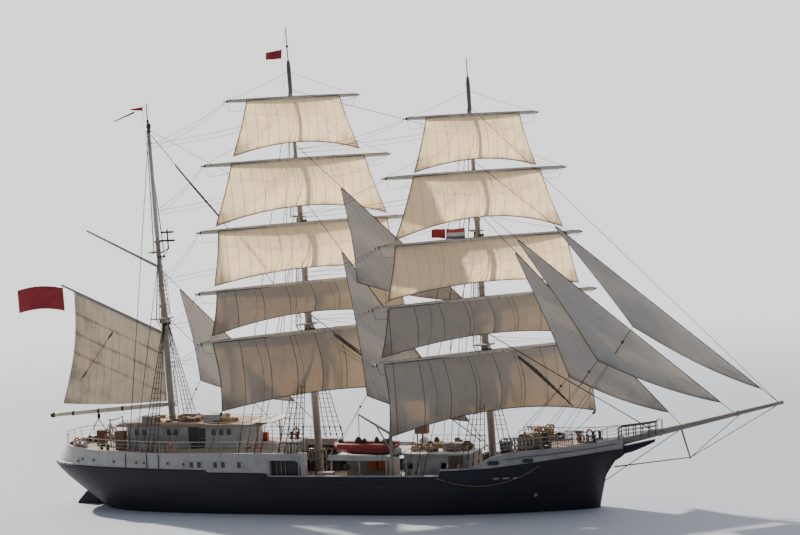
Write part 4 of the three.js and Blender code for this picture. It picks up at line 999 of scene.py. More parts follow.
def evenly(path, spacing):
    # points at equal steps along a path
    path = np.asarray(path, dtype=float)
    run = np.concatenate([[0], np.cumsum(np.linalg.norm(np.diff(path, axis=0), axis=1))])
    steps = max(2, int(round(run[-1] / spacing)) + 1)
    at = np.linspace(0, run[-1], steps)
    return np.stack([np.interp(at, run, path[:, k]) for k in range(3)], axis=-1)


def railing(shape, path, height, bars, spacing, post=0.03):
    # posts at equal steps and bars at given heights along a path
    posts = evenly(path, spacing)
    for foot in posts:
        shape.tube([foot, foot + [0, 0, height]], post, 6)
        shape.turned([(0.01, 0), (post * 2.2, 0.0), (post * 2.2, 0.03), (0.01, 0.031)], foot, sides=8)
    line = evenly(path, 0.5)
    for level, radius in bars:
        shape.tube(line + [0, 0, level], radius, 6)


def deckEdge(xs, inset, height):
    # a line inboard of the starboard side, at one height or a height for each x
    x = np.asarray(xs, dtype=float)
    z = height(x) if callable(height) else np.full(len(x), height)
    return np.stack([x, -(halfAt(x) - inset), z], axis=-1)


mirror = np.array([1, -1, 1])
railBars = ((0.95, 0.038), (0.62, 0.018), (0.32, 0.018))
sternEdge = leanIn(deckEdge(np.linspace(-1.1, -25.15, 60), 0.18, lambda x: along(quarterdeckRim, x) + 0.02))
poopRails, kneeRails = Shape(), Shape()
railing(poopRails, np.concatenate([sternEdge, (sternEdge * mirror)[::-1]]), 0.95, railBars, 1.45)
bowEdge = deckEdge(np.linspace(15.1, 24.5, 30), 0.2, lambda x: along(forecastleTop, x) + 0.03)
for side in (1, -1):
    railing(poopRails, bowEdge * [1, side, 1], 0.95, railBars, 1.3)
    sprit = np.array([[24.6, 0.55, 5.62], [26.2, 0.44, 5.82], [27.6, 0.34, 6.02]]) * [1, side, 1]
    railing(kneeRails, sprit, 1.0, ((1.0, 0.06), (0.66, 0.032), (0.33, 0.032)), 0.6, 0.045)
    bend = np.array([[27.6, 0.34, 7.02], [27.65, 0.32, 7.14], [28.05, 0.25, 7.2], [28.1, 0.25, 6.3]])
    kneeRails.tube(bend * [1, side, 1], 0.03, 6)
kneeRails.fit("knee_rails", rustyRail, "wire")
poopRails.fit("deck_rails", railPaint, "topside_white")
print("rails set")

# Standing rigging: how far ahead of the mast's foot each shroud and backstay lands, and how high it goes;
# "lead" sets the heads of the ropes forward, clear of the sweep of the spanker's gaffs
standing = {
    "fore": {"hounds": 13.35, "shrouds": (0.5, 0.0, -0.5, -1.0, -1.5), "top": 13.62, "trees": 22.9,
             "back": ((-4.6, 22.6), (-5.2, 27.3), (-5.9, 33.3)), "gallant": 32.9, "lead": 0.0},
    "main": {"hounds": 15.35, "shrouds": (0.45, -0.1, -0.65, -1.2, -1.75), "top": 15.62, "trees": 24.6,
             "back": ((-3.3, 24.3), (-3.9, 24.4), (-4.6, 29.9), (-5.3, 35.4)), "gallant": 35.2, "lead": 0.0},
    "mizzen": {"hounds": 16.05, "shrouds": (0.55, 0.1, -0.35, -0.85), "top": 16.32, "trees": 21.9,
               "back": ((-1.5, 21.7), (-2.1, 32.8)), "gallant": 32.6, "lead": 0.26},
}


def railTop(x):
    # height of the rail on which a shroud lands
    return float(along(quarterdeckRim, x) + 0.03 if x < -1.0 else along(forecastleTop, x) + 0.03 if x > 13.0
                 else along(topsideEdge, x) + 0.09)


def shroudFoot(x, side):
    # a point on the rail, a little inboard where the side above is white
    inset = 0.06 if x < -1.0 or x > 13.0 else 0.0
    return np.array([x, side * (float(halfAt(x)) - inset), railTop(x)])


def deadeyes(shape, foot, head):
    # two round blocks laced together above the rail, on an iron strap
    way = unit(head - foot)
    for up in (0.28, 0.95):
        shape.turned([(0.01, -0.05), (0.10, -0.045), (0.12, 0), (0.10, 0.045), (0.01, 0.05)],
                     foot + way * up, (1, 0, 0), 10)
    for shift in (-0.06, 0.0, 0.06):
        shape.tube(straight(foot + way * 0.28, foot + way * 0.95) + [0.0, shift, 0.0], 0.014, 4)
    shape.tube([foot - [0, 0, 0.02], foot + way * 0.2], 0.03, 6)


for mast, plan in standing.items():
    x0 = mastSizes[mast]["x"]
    lead = plan["lead"]
    ropes, rungs, irons = Shape(), Shape(), Shape()
    for side in (-1, 1):
        legs = []
        for shift in plan["shrouds"]:
            foot = shroudFoot(x0 + shift, side)
            aside = side * (mastRadius(mast, plan["hounds"]) + 0.02)
            head = onMast(mast, [lead - 0.12 + shift * 0.06, aside, plan["hounds"]])
            ropes.tube(straight(foot + unit(head - foot) * 0.95, head), ropeSizes["shroud"], 6)
            deadeyes(irons, foot, head)
            legs.append((foot, head))
        rail, height = legs[0][0][2], legs[0][1][2] - legs[0][0][2]
        for z in np.arange(1.5, height - 1.0, 0.42):
            row = [lerp(foot, head, (z + rail - foot[2]) / (head[2] - foot[2])) for foot, head in legs]
            rungs.tube(row, ropeSizes["ratline"], 4)
        legs = []
        for ahead in (-0.42, -0.7, -0.98):
            foot = onMast(mast, [lead * 2 + max(ahead, -0.74), side * 1.2, plan["top"]])
            head = onMast(mast, [lead - 0.2 + ahead * 0.1, side * 0.14, plan["trees"]])
            ropes.tube(straight(foot, head), ropeSizes["shroud"] * 0.8, 5)
            legs.append((foot, head))
            low = plan["top"] - 1.5
            futtock = onMast(mast, [lead - 0.2, side * (mastRadius(mast, low) + 0.01), low])
            ropes.tube(straight(foot - [0, 0, 0.12], futtock), ropeSizes["shroud"] * 0.8, 5)
        for t in np.arange(0.07, 0.93, 0.4 / (plan["trees"] - plan["top"])):
            rungs.tube([lerp(foot, head, t) for foot, head in legs], ropeSizes["ratline"], 4)
        for ahead in (-0.44, -0.5):
            foot = onMast(mast, [lead * 2 + ahead, side * 1.08, plan["trees"] + 0.45])
            head = onMast(mast, [-0.14, side * 0.07, plan["gallant"]])
            ropes.tube(straight(foot - [0, 0, 0.4], head), ropeSizes["shroud"] * 0.7, 5)
        for shift, top in plan["back"]:
            foot = shroudFoot(x0 + shift, side)
            head = onMast(mast, [lead * 0.7 - mastRadius(mast, top) * 0.8, side * 0.08, top])
            ropes.tube(straight(foot + unit(head - foot) * 0.95, head), ropeSizes["shroud"] * 0.9, 5)
            deadeyes(irons, foot, head)
    ropes.fit(mast + "_shrouds", darkRope, "wire")
    rungs.fit(mast + "_ratlines", darkRope, "wire")
    irons.fit(mast + "_deadeyes", darkIron, "wire")

stays = Shape()
stayEnds = (
    (onMast("fore", [0.3, 0, 14.4]), (27.5, 0, 6.2), 0.04),
    (onMast("fore", [0.12, 0, 33.2]), (37.4, 0, 8.62), 0.022),
    (onMast("main", [0.3, 0, 16.2]), (12.95, 0, 5.4), 0.04),
    (onMast("main", [0.12, 0, 35.4]), onMast("fore", [-0.15, 0, 30.8]), 0.02),
    (onMast("mizzen", [0.25, 0, 16.4]), onMast("main", [-0.4, 0, 3.6]), 0.03),
    (onMast("mizzen", [0.2, 0, 32.2]), onMast("main", [-0.5, 0, 15.95]), 0.034),
    (onMast("mizzen", [0.1, 0, 32.6]), onMast("main", [-0.25, 0, 25.2]), 0.018),
    ((30.3, 0, 4.1), (37.4, 0, 8.3), 0.032), ((30.3, 0, 4.1), (34.2, 0, 7.4), 0.032),
)
for a, b, radius in stayEnds:
    stays.tube(straight(a, b), radius, 6)
for side in (-1, 1):
    for start, x, z in (((29.38, side * 0.2, 6.25), 23.16, 2.15), ((30.25, side * 0.05, 4.1), 24.0, 3.32)):
        stays.tube(straight(start, (x, side * (float(hullHalf(x, np.array(z))) + 0.05), z)), 0.03, 6)
stays.fit("stays", darkRope, "wire")

# Staysails furled along their stays, in lumpy rolls
furledSails = {
    "mizzen_topgallant_staysail": (((-13.5, -0.05, 29.45), (-11.5, -0.08, 27.1), (-9.45, -0.05, 24.7)),
                                   (0.05, 0.1, 0.075)),
    "fore_staysail": (((16.3, -0.1, 12.5), (17.7, -0.12, 11.35), (19.1, -0.1, 10.0), (20.8, -0.08, 8.3)),
                      (0.1, 0.17, 0.13, 0.05)),
    "main_staysail": (((0.32, -0.1, 14.6), (1.5, -0.12, 13.75), (2.7, -0.1, 12.78)), (0.08, 0.15, 0.07)),
}
for name, (route, sizes) in furledSails.items():
    t = np.linspace(0, len(route) - 1, 41)
    path = np.stack([np.interp(t, range(len(route)), np.array(route)[:, k]) for k in range(3)], axis=-1)
    lumps = 1 + 0.12 * np.sin(np.arange(41) * 1.9) + 0.06 * np.sin(np.arange(41) * 4.3)
    roll = Shape().tube(path, np.interp(t, range(len(route)), sizes) * lumps, 12)
    roll = roll.piece(name + "_furled", "ship", heavyRoll)
print("standing rigging set")

# Sheets: from each staysail's clew to the rail, and from the corners of the courses
sheetLeads = {
    "outer_jib": (19.9, 0.6), "inner_jib": (18.4, 0.6), "fore_topmast_staysail": (16.2, 0.6),
    "main_topmast_staysail": (0.2, 0.0), "mizzen_topmast_staysail": (-13.2, 0.6),
}
sheets, sheetBlocks = Shape(), Shape()
for name, (x, up) in sheetLeads.items():
    clew = staysailGrid(name, 5, 5)[-1, -1] + [0, -0.03, 0]
    landing = shroudFoot(x, -1) + [0, 0.35, up]
    joint = lerp(clew, landing, 0.14)
    sheets.tube(straight(clew, joint), 0.026, 5)
    for shift in (-0.16, 0.16):
        sheets.tube(straight(joint, landing + [shift * 2, 0, 0], 9, 0.1), 0.02, 5)
    block = [joint + (clew - joint) * t for t in (0.12, 0.06, 0, -0.08)]
    sheetBlocks.tube(block, [0.04, 0.11, 0.11, 0.03], 8)
sheets.fit("staysail_sheets", darkRope, "wire")
sheetBlocks.fit("sheet_blocks", darkIron, "wire")
for name in ("fore_course", "main_course"):
    for side, word in ((0, "starboard"), (-1, "port")):
        corner = squareSailGrid(name, 5, 5)[-1, side]
        x = min(corner[0] - 2.0, 22.0)
        landing = shroudFoot(x, 1 if corner[1] > 0 else -1) + [0, 0, 0.1]
        rope = Shape().tube(straight(corner, landing, 15, 0.12), 0.026, 5)
        rope.tube([lerp(corner, landing, t) for t in (0.02, 0.05, 0.09, 0.12)], [0.04, 0.12, 0.12, 0.04], 8)
        rope.span(name + "_sheet_" + word, name + "_gear", corner, landing)

# Portholes, square ports, freeing ports and fairleads along the hull
portRows = {
    "round": ((-22.0, 4.36), (-21.5, 4.52), (-20.34, 4.46), (-18.34, 4.39), (-16.18, 4.33), (-15.46, 4.31),
              (-13.24, 4.28), (-11.8, 4.23)),
    "square": (-11.07, -10.37, -8.9, -8.2, -6.75), "squareMiddle": 4.18, "radius": 0.14,
    "bow": ((14.48, 15.43, 4.06, 4.41), (17.26, 18.08, 4.18, 4.52)),
    "freeing": ((14.92, 15.39, 2.92, 3.04), (15.64, 16.21, 2.92, 3.04), (16.46, 16.84, 2.92, 3.04)),
    "faint": ((11.07, 11.56, 2.76, 2.88), (12.14, 12.81, 2.76, 2.88), (1.5, 2.4, 2.3, 2.44),
              (5.0, 5.9, 2.3, 2.44)),
}


def sideFace(x, z, side, inset=0.06):
    # a point on the side at x and z, and the way that the side faces
    above = z > float(along(topsideEdge, x))
    y = float(halfAt(x)) - inset if above else float(hullHalf(x, np.array(z))) + 0.05
    turn = float((halfAt(x + 0.1) - halfAt(x - 0.1)) / 0.2)
    out = unit(np.array([-turn, 1.0, 0])) * [1, side, 1]
    return np.array([x, side * y, z]), out


def sidePatch(shape, low, high, bottom, top, side, proud=0.075):
    # a plate with rounded ends, bent along the ship's side
    t = np.linspace(-1, 1, 9)
    tall = (top - bottom) / 2 * np.maximum(1 - np.abs(t) ** 5, 0.12) ** 0.4
    section = ((-0.05, -1), (proud, -1), (proud, 1), (-0.05, 1))
    rings = []
    for x, h in zip(lerp(low, high, (t + 1) / 2), tall):
        centre, out = sideFace(float(x), (bottom + top) / 2, side)
        rings.append([centre + out * o + [0, 0, k * h] for o, k in section])
    last = 4 * (len(t) - 1)
    ends = [[3, 2, 1, 0], [last, last + 1, last + 2, last + 3]]
    shape.add(rings, [list(f) for f in gridFaces(len(t), 4, True)] + ends)


ports, panes, shadedPortPlates, litPortPlates = Shape(), Shape(), Shape(), Shape()
for side in (-1, 1):
    for x, z in portRows["round"]:
        centre, out = sideFace(x, z, side)
        r = portRows["radius"]
        rim = ((0.8, 0.0), (1.3, 0.02), (1.3, 0.06), (1.1, 0.08), (0.86, 0.07), (0.8, 0.0))
        ports.turned([(r * share, proud) for share, proud in rim], centre, out, 16)
        panes.turned([(0.01, 0.0), (r * 0.95, 0.01), (r * 0.9, 0.045), (0.01, 0.05)], centre, out, 14)
    for x in portRows["square"]:
        for dx, dz, w, h in ((0, 0.27, 0.22, 0.03), (0, -0.27, 0.22, 0.03),
                             (0.2, 0, 0.03, 0.27), (-0.2, 0, 0.03, 0.27)):
            centre, out = sideFace(x + dx, portRows["squareMiddle"] + dz, side)
            ports.box(centre + [-w, -0.05, -h], centre + [w, 0.05, h])
        centre, out = sideFace(x, portRows["squareMiddle"], side)
        panes.box(centre + [-0.18, -0.035, -0.25], centre + [0.18, 0.035, 0.25])
    # dark plates for the bow ports and the faint ports, painted shade seen through the openings
    for port in portRows["bow"] + portRows["faint"]:
        sidePatch(shadedPortPlates, *port, side)
    # pale plates for the freeing ports, painted light seen through them
    for port in portRows["freeing"]:
        sidePatch(litPortPlates, *port, side)
ports.fit("port_frames", railPaint, "topside_white", bevel=0.01)
panes.fit("port_glass", darkGlass, "wire", smooth=False)
for shape, name, material, slot in ((shadedPortPlates, "bow_ports", darkIron, "wire"),
                                    (litPortPlates, "freeing_ports", paleRope, "topside_white")):
    piece = shape.piece(name, "ship", material, smooth=False)
    turnOut(piece)
sideGear, sidePipes = Shape(), Shape()
for side in (-1, 1):
    x = np.linspace(10.3, 18.6, 40)
    z = np.interp(x, [10.26, 11.8, 13.3, 14.6, 15.97, 17.4, 18.65],
                  [3.1, 2.62, 2.38, 2.42, 2.66, 3.2, 3.94])
    sideGear.tube(np.stack([x, side * (hullHalf(x, z) + 0.09), z], axis=-1), 0.022, 6)
    centre, out = sideFace(18.1, 1.47, side)
    sideGear.turned([(0.01, 0.0), (0.16, 0.01), (0.13, 0.05), (0.01, 0.06)], centre, out, 14)
    for x in (-17.2, -15.2, -14.1):
        y = side * (float(halfAt(x)) - 0.02)
        sidePipes.tube([[x, y, 5.12], [x, y, 4.95], [x, y + side * 0.03, 4.0], [x, y + side * 0.03, 3.75]],
                       0.042, 6)
sideGear.fit("bow_rope", tanRope, "canvas")
sidePipes.fit("side_pipes", darkIron, "wire")


def groove(x):
    # a dark line a little over half way up the forecastle's side
    return [(out, lerp(along(topsideEdge, x), along(forecastleTop, x), up))
            for out, up in ((0.04, .52), (0.075, .52), (0.075, .575), (0.04, .575))]


sideStrip("forecastle_groove", rustyRail, np.linspace(15.9, 24.4, 40), 0.05, groove)

# Height of the planks that things stand on
floors = {"main": 2.23, "quarterdeck": 5.13, "forwardRoof": 4.81, "aftRoof": 7.29}

# Deckhouses: windows, frames and handrails
houses = {
    "aft": {"x": (-18.0, -7.5), "half": 2.6, "windows": (-17.1, -16.4, -14.1, -13.5, -10.0, -9.3, -8.6),
            "low": 6.35, "size": (0.4, 0.5), "rail": 6.1, "base": floors["quarterdeck"],
            "grips": ((-17.9, -12.5), (-11.2, -7.6))},
    "forward": {"x": (6.9, 12.2), "half": 2.7, "windows": (7.05, 9.75),
                "low": 3.5, "size": (0.45, 0.5), "rail": 3.2, "base": floors["main"],
                "grips": ((7.0, 8.3), (9.5, 12.1))},
}
for word, house in houses.items():
    frames, glass = Shape(), Shape()
    for side in (-1, 1):
        y = side * house["half"]
        w, h = house["size"][0] / 2, house["size"][1]
        for x in house["windows"]:
            low = house["low"]
            inner = y - side * 0.07
            glass.box([x - w + 0.01, inner - 0.01, low + 0.01],
                      [x + w - 0.01, inner + 0.01, low + h - 0.01])
            for a, b, c, d in ((x - w - 0.05, x - w, low - 0.05, low + h + 0.05),
                               (x + w, x + w + 0.05, low - 0.05, low + h + 0.05),
                               (x - w, x + w, low - 0.05, low), (x - w, x + w, low + h, low + h + 0.05)):
                frames.box([a, y, c], [b, y + side * 0.03, d])
            frames.box([x - w - 0.08, y, low + h + 0.06], [x + w + 0.08, y + side * 0.06, low + h + 0.09])
        for a, b in house["grips"]:
            out = y + side * 0.09
            handrail = evenly([[a, out, house["rail"]], [b, out, house["rail"]]], 0.9)
            frames.tube(handrail, 0.022, 6)
            for point in handrail:
                frames.tube([point, [point[0], y, point[2]]], 0.014, 5)
        # plinth along the foot of the wall
        frames.box([house["x"][0], y, house["base"]],
                   [house["x"][1], y + side * 0.025, house["base"] + 0.1])
    frames.fit(word + "_house_trim", whitePaint, "topside_white", smooth=False, bevel=0.006)
    glass.fit(word + "_house_glass", darkGlass, "wire", smooth=False)

# dark panels inside the gangway openings, painted shade of the space behind them, and a dark panel on each
# side of the aft house; white arches and posts at the openings
shadePanels, arches = Shape(), Shape()
for side in (-1, 1):
    y = side * 4.62
    shadePanels.box([-4.05, y, 2.25], [-1.1, y + side * 0.04, 4.95])
    y = side * 2.62
    shadePanels.box([-11.35, y, 5.2], [-10.75, y - side * 0.05, 6.95])
    outer = side * (float(halfAt(-2.0)) + 0.03)
    arches.tube([[-2.15, outer, 4.88], [-1.65, outer, 4.88], [-1.5, outer, 4.82], [-1.44, outer, 4.68],
                 [-1.42, outer, 3.3]], 0.055, 8)
    inner = side * 4.75
    for x in (-3.6, -3.2, -2.8):
        arches.tube([[x, inner, 2.3], [x, inner, 4.9]], 0.03, 6)
shadePanels.fit("dark_openings", darkIron, "wire", smooth=False)
arches.fit("gangway_arches", whitePaint, "topside_white")

# Covers, boards and ropes stowed on the roofs, seen over their edges
seed = np.random.default_rng(21)
stow = {"boards": Shape(), "covers": Shape(), "coils": Shape()}
for low, high, half, base, count, tallest in ((7.0, 12.3, 2.3, floors["forwardRoof"], 34, 0.75),
                                              (-17.9, -7.4, 2.2, floors["aftRoof"], 30, 0.4)):
    for k in range(count):
        x, y = seed.uniform(low + 0.5, high - 0.5), seed.uniform(-half, half)
        l, w = seed.uniform(0.3, 0.9), seed.uniform(0.2, 0.5)
        h = seed.uniform(0.15, tallest)
        if k % 3 == 0:
            stow["boards"].box([x - l / 2, y - w / 2, base], [x + l / 2, y + w / 2, base + h])
        elif k % 3 == 1:
            stow["covers"].turned([(w * 0.6, 0), (w, h * 0.15), (w * 0.95, h * 0.6), (w * 0.5, h * 0.95),
                                   (0.02, h)], (x, y, base), sides=10)
        else:
            angle = aroundCircle(16)
            for turn in range(4):
                ring = np.stack([x + w * np.cos(angle), y + w * np.sin(angle),
                                 base + 0.06 + 0.09 * turn + 0 * angle], axis=-1)
                stow["coils"].tube(ring, 0.05, 5, closed=True)
roofTop = Shape().box([-18.0, -2.7, 7.285], [-7.4, 2.7, 7.31])
for name, shape, material, slot in (("roof_boards", stow["boards"], brownWood, "varnish"),
                                    ("roof_covers", stow["covers"], greenCloth, "canvas"),
                                    ("roof_coils", stow["coils"], tanRope, "canvas"),
                                    ("aft_roof_deck", roofTop, brownWood, "deck_wood")):
    shape.fit(name, material, slot, smooth=False)

# Lockers and slatted crates
roofGear = Shape()
roofGear.box([-11.2, -1.9, 7.29], [-9.65, -0.5, 7.95])
roofGear.box([-11.3, -2.0, 7.95], [-9.55, -0.4, 8.02])
crates = Shape()
crates.box([7.7, -1.9, 6.3], [8.75, -1.1, 6.95])
for x in (7.78, 8.2):
    crates.tube([[x, -1.5, 4.81], [x, -1.5, 6.32]], 0.06, 6)
crates.box([-18.95, -3.1, 5.13], [-18.15, -2.35, 6.75])
for z in np.arange(5.2, 6.7, 0.14):
    crates.box([-18.99, -3.13, z], [-18.11, -2.32, z + 0.07])
for x in np.arange(10.75, 11.95, 0.16):
    crates.box([x, -2.78, 2.9], [x + 0.1, -2.71, 4.6])
crates.fit("slatted_lockers", brownWood, "varnish", smooth=False, bevel=0.01)
roofGear.box([0.0, -4.85, 2.24], [1.3, -4.2, 3.45])
roofGear.box([-0.05, -4.9, 3.45], [1.35, -4.15, 3.51])
for x, y, l, w, h in ((-13.6, 1.2, 1.3, 0.9, 0.45), (-16.6, -0.9, 0.9, 1.4, 0.5),
                      (10.6, -0.4, 1.6, 1.2, 0.5)):
    base = floors["aftRoof" if x < 0 else "forwardRoof"]
    roofGear.box([x - l / 2, y - w / 2, base], [x + l / 2, y + w / 2, base + h])
    roofGear.box([x - l / 2 - 0.05, y - w / 2 - 0.05, base + h],
                 [x + l / 2 + 0.05, y + w / 2 + 0.05, base + h + 0.06])
roofGear.fit("deck_lockers", whitePaint, "topside_white", smooth=False, bevel=0.02)

# Rails round both roofs and a frame for the awning
roofRails = Shape()
corners = [[-18.7, -2.8, 7.28], [-6.0, -2.8, 7.28], [-6.0, 2.8, 7.28], [-18.7, 2.8, 7.28],
           [-18.7, -2.8, 7.28]]
for a, b in zip(corners[:-1], corners[1:]):
    line = evenly([a, b], 1.6)
    for foot in line:
        roofRails.tube([foot, foot + [0, 0, 0.16]], 0.02, 5)
    roofRails.tube(line + [0, 0, 0.16], 0.02, 5)
for y in (-2.75, 2.75):
    railing(roofRails, [[6.95, y, 4.81], [12.5, y, 4.81]], 0.8, ((0.8, 0.025), (0.4, 0.015)), 1.1, 0.02)
for foot in ((-20.2, -1.3, 5.13), (-20.2, 1.3, 5.13)):
    foot = np.array(foot)
    roofRails.tube([foot, foot + [0, 0, 2.45]], 0.06, 8)
    roofRails.tube([foot + [0.9, 0, 0], foot + [0, 0, 2.2]], 0.045, 8)
roofRails.tube(np.array([[-20.2, y, 7.56 - 0.12 * cos(y)] for y in np.linspace(-1.45, 1.45, 15)]), 0.07, 8)
for y in (-2.8, 2.8):
    roofRails.tube([[-4.6, y, 5.13], [-4.6, y, 7.4]], 0.035, 6)
roofRails.tube([[-4.6, -2.8, 7.4], [-4.6, 2.8, 7.4]], 0.03, 6)
roofRails.fit("roof_rails", railPaint, "topside_white")

# The awning, sagging a little between its frames
awningSize = {"aft": -6.6, "length": 2.0, "half": 2.8, "height": 7.43,
              "sag": 0.1, "ridge": 0.06, "fall": 0.02}
v, u = np.meshgrid(np.linspace(0, 1, 13), np.linspace(-1, 1, 25), indexing="ij")
z = (awningSize["height"] - awningSize["fall"] * v - awningSize["sag"] * (1 - u * u) * np.sin(pi * v) +
     awningSize["ridge"] * (1 - np.abs(u)))
across, ahead = awningSize["half"] * u, awningSize["length"] * v
canopy = addPiece("awning", "ship", jibCloth, np.stack([awningSize["aft"] + ahead, across, z], axis=-1),
                  gridFaces(13, 25), uv=np.stack([across, ahead], axis=-1).reshape(-1, 2),
                  values={"edge": np.minimum(1 - np.abs(u), np.minimum(v, 1 - v)) * 2, "stain": 0.1 + 0 * u})
thicken(canopy, sailGrid["thickness"])

# Lifebuoys, hanging on the rails
buoys, grabs = Shape(), Shape()
buoyPlaces = [(x, side) for side in (-1, 1) for x in (-22.3, -13.0, -5.3, 21.7)]
for x, side in buoyPlaces:
    z = (along(quarterdeckRim, x) if x < 0 else along(forecastleTop, x)) + 0.52
    shifted = x - along(sternLean, x) if x < 0 else x
    centre = np.array([x, side * (float(halfAt(shifted)) - 0.32), z])
    turn = float((halfAt(x + 0.1) - halfAt(x - 0.1)) / 0.2) * side
    way = unit(np.array([1, turn, 0]))
    angle = aroundCircle(24)
    ring = centre + np.cos(angle)[:, None] * way * 0.3 + np.sin(angle)[:, None] * np.array([0, 0, 0.3])
    buoys.tube(ring, 0.075, 10, closed=True)
    for k in range(4):
        part = angle[k * 6: k * 6 + 2]
        band = centre + np.cos(part)[:, None] * way * 0.3 + np.sin(part)[:, None] * np.array([0, 0, 0.3])
        grabs.tube(band, 0.081, 10)
buoys.fit("lifebuoys", orangePaint, "boat_red")
grabs.fit("lifebuoy_bands", whitePaint, "topside_white")

# Kerb of the boat deck, what lies in its boats, and the lockers beneath
kerb = Shape()
for side in (-1, 1):
    kerb.box([0.75, side * 4.12, 4.56], [5.95, side * 4.18, 4.86])
kerb.fit("boat_deck_kerb", whitePaint, "topside_white", smooth=False, bevel=0.01)
covers = Shape()
for x, y, z, r, h in ((1.45, -2.95, 5.45, 0.4, 0.6), (3.1, -3.0, 5.5, 0.34, 0.75),
                      (3.55, -2.8, 5.5, 0.26, 0.6), (4.7, -3.0, 5.5, 0.25, 0.75),
                      (5.5, -3.1, 5.5, 0.45, 0.6), (5.95, -2.9, 5.5, 0.33, 0.4)):
    covers.turned([(r * 0.7, 0), (r, h * 0.2), (r * 0.9, h * 0.6), (r * 0.45, h * 0.92), (0.02, h)],
                  (x, y, z), sides=12)
covers.fit("boat_covers", greenCloth, "canvas")

orange = Shape()
orange.box([3.7, -2.25, 3.3], [4.35, -1.61, 4.15]).box([4.45, -2.25, 3.3], [5.1, -1.61, 4.15])
orange.box([-8.3, 2.75, 5.14], [-7.2, 3.3, 5.9])
orange.fit("lifejacket_lockers", orangePaint, "boat_red", smooth=False, bevel=0.03)

# Life rafts in their canisters, with ribs, on cradles
rafts, cradles = Shape(), Shape()
raftPlaces = ((6.45, -3.1, 4.78), (-21.9, 3.2, 5.28), (-22.3, -3.0, 5.28), (7.15, 2.4, 4.95))
halfRaft = [(0.01, 0.62), (0.2, 0.6), (0.28, 0.52), (0.3, 0.4), (0.32, 0.38), (0.32, 0.3), (0.3, 0.28),
            (0.3, 0.03), (0.33, 0.02)]
raftProfile = [(r, -end) for r, end in halfRaft] + halfRaft[::-1]
for x, y, z in raftPlaces:
    rafts.turned(raftProfile, (x, y, z + 0.25), (0, 1, 0) if x > 0 else (1, 0, 0), 20)
    for shift in (-0.34, 0.34):
        dx, dy = (0, shift) if x > 0 else (shift, 0)
        reach = (0.28, 0.03) if x > 0 else (0.03, 0.28)
        cradles.box([x + dx - reach[0], y + dy - reach[1], z - 0.15],
                    [x + dx + reach[0], y + dy + reach[1], z + 0.02])
rafts.fit("life_rafts", whitePaint, "topside_white")
cradles.fit("raft_cradles", darkIron, "wire", smooth=False, bevel=0.01)

# Pin rails with their coils of rope, the netting, bitts and the foredeck's gear
coils, pins = Shape(), Shape()
seed = np.random.default_rng(7)


def hangingCoil(shape, top, size, turns=4, thickness=0.03):
    # a coil pulled long by its own weight, hung over a pin
    angle = aroundCircle(18)
    for k in range(turns):
        wide = 0.12 + 0.02 * k
        ring = np.stack([wide * np.cos(angle), np.full(18, (k - turns / 2) * thickness * 1.6),
                         size / 2 * np.sin(angle) - size / 2], axis=-1)
        shape.tube(np.asarray(top) + ring, thickness, 5, closed=True)


pinRails = (((15.6, -3.95), (18.3, -3.35), 6.15), ((15.6, 3.95), (18.3, 3.35), 6.15),
            ((-16.2, -4.7), (-13.6, -4.8), 5.95), ((-16.2, 4.7), (-13.6, 4.8), 5.95),
            ((-3.3, -4.75), (-1.2, -4.78), 5.95), ((11.9, -4.55), (13.9, -4.3), 3.9),
            ((11.9, 4.55), (13.9, 4.3), 3.9), ((-2.6, -0.9), (-0.6, -0.9), 4.7),
            ((-2.6, 0.9), (-0.6, 0.9), 4.7))
for (x0, y0), (x1, y1), z in pinRails:
    side = 1 if y0 > 0 else -1
    line = np.array([[x0, y0 - side * 0.1, z], [x1, y1 - side * 0.1, z]])
    pins.tube(evenly(line, 0.4), 0.06, 6)
    for x, y, _ in evenly(line, 1.25):
        aft = x0 < -1 and abs(y0) > 2
        base = floors["quarterdeck"] if aft else floors["main"] if z < 5 else along(forecastleTop, x)
        pins.tube([[x, y, base], [x, y, z]], 0.045, 6)
    for point in evenly(line, 0.32)[1:-1]:
        pins.tube([point + [0, 0, -0.14], point + [0, 0, 0.2]], 0.024, 6)
        if seed.random() < 0.8:
            hangingCoil(coils, point + [0, -0.02, 0.05], seed.uniform(0.7, 1.05))
pins.fit("pin_rails", varnished, "varnish")
coils.fit("rope_coils", paleRope, "canvas")

net, netFrame = Shape(), Shape()
for side in (-1, 1):
    a, b = np.array([19.3, side * 2.75, 0]), np.array([21.1, side * 2.0, 0])
    for t in np.linspace(0, 1, 12):
        p = lerp(a, b, t)
        sway = 0.05 * np.sin(np.linspace(0, 9, 6) + 5 * t)
        net.tube([[p[0], p[1] + aside, z] for z, aside in zip(np.linspace(5.12, 5.95, 6), sway)], 0.02, 4)
    for z in np.linspace(5.15, 5.92, 8):
        net.tube(evenly([[*a[:2], z], [*b[:2], z]], 0.3), 0.02, 4)
    for p in (a, b):
        netFrame.tube([[*p[:2], 5.0], [*p[:2], 6.05]], 0.035, 6)
    netFrame.tube([[*a[:2], 6.0], [*b[:2], 6.0]], 0.03, 6)
net.fit("red_netting", redRope, "boat_red")
netFrame.fit("netting_frame", railPaint, "topside_white")

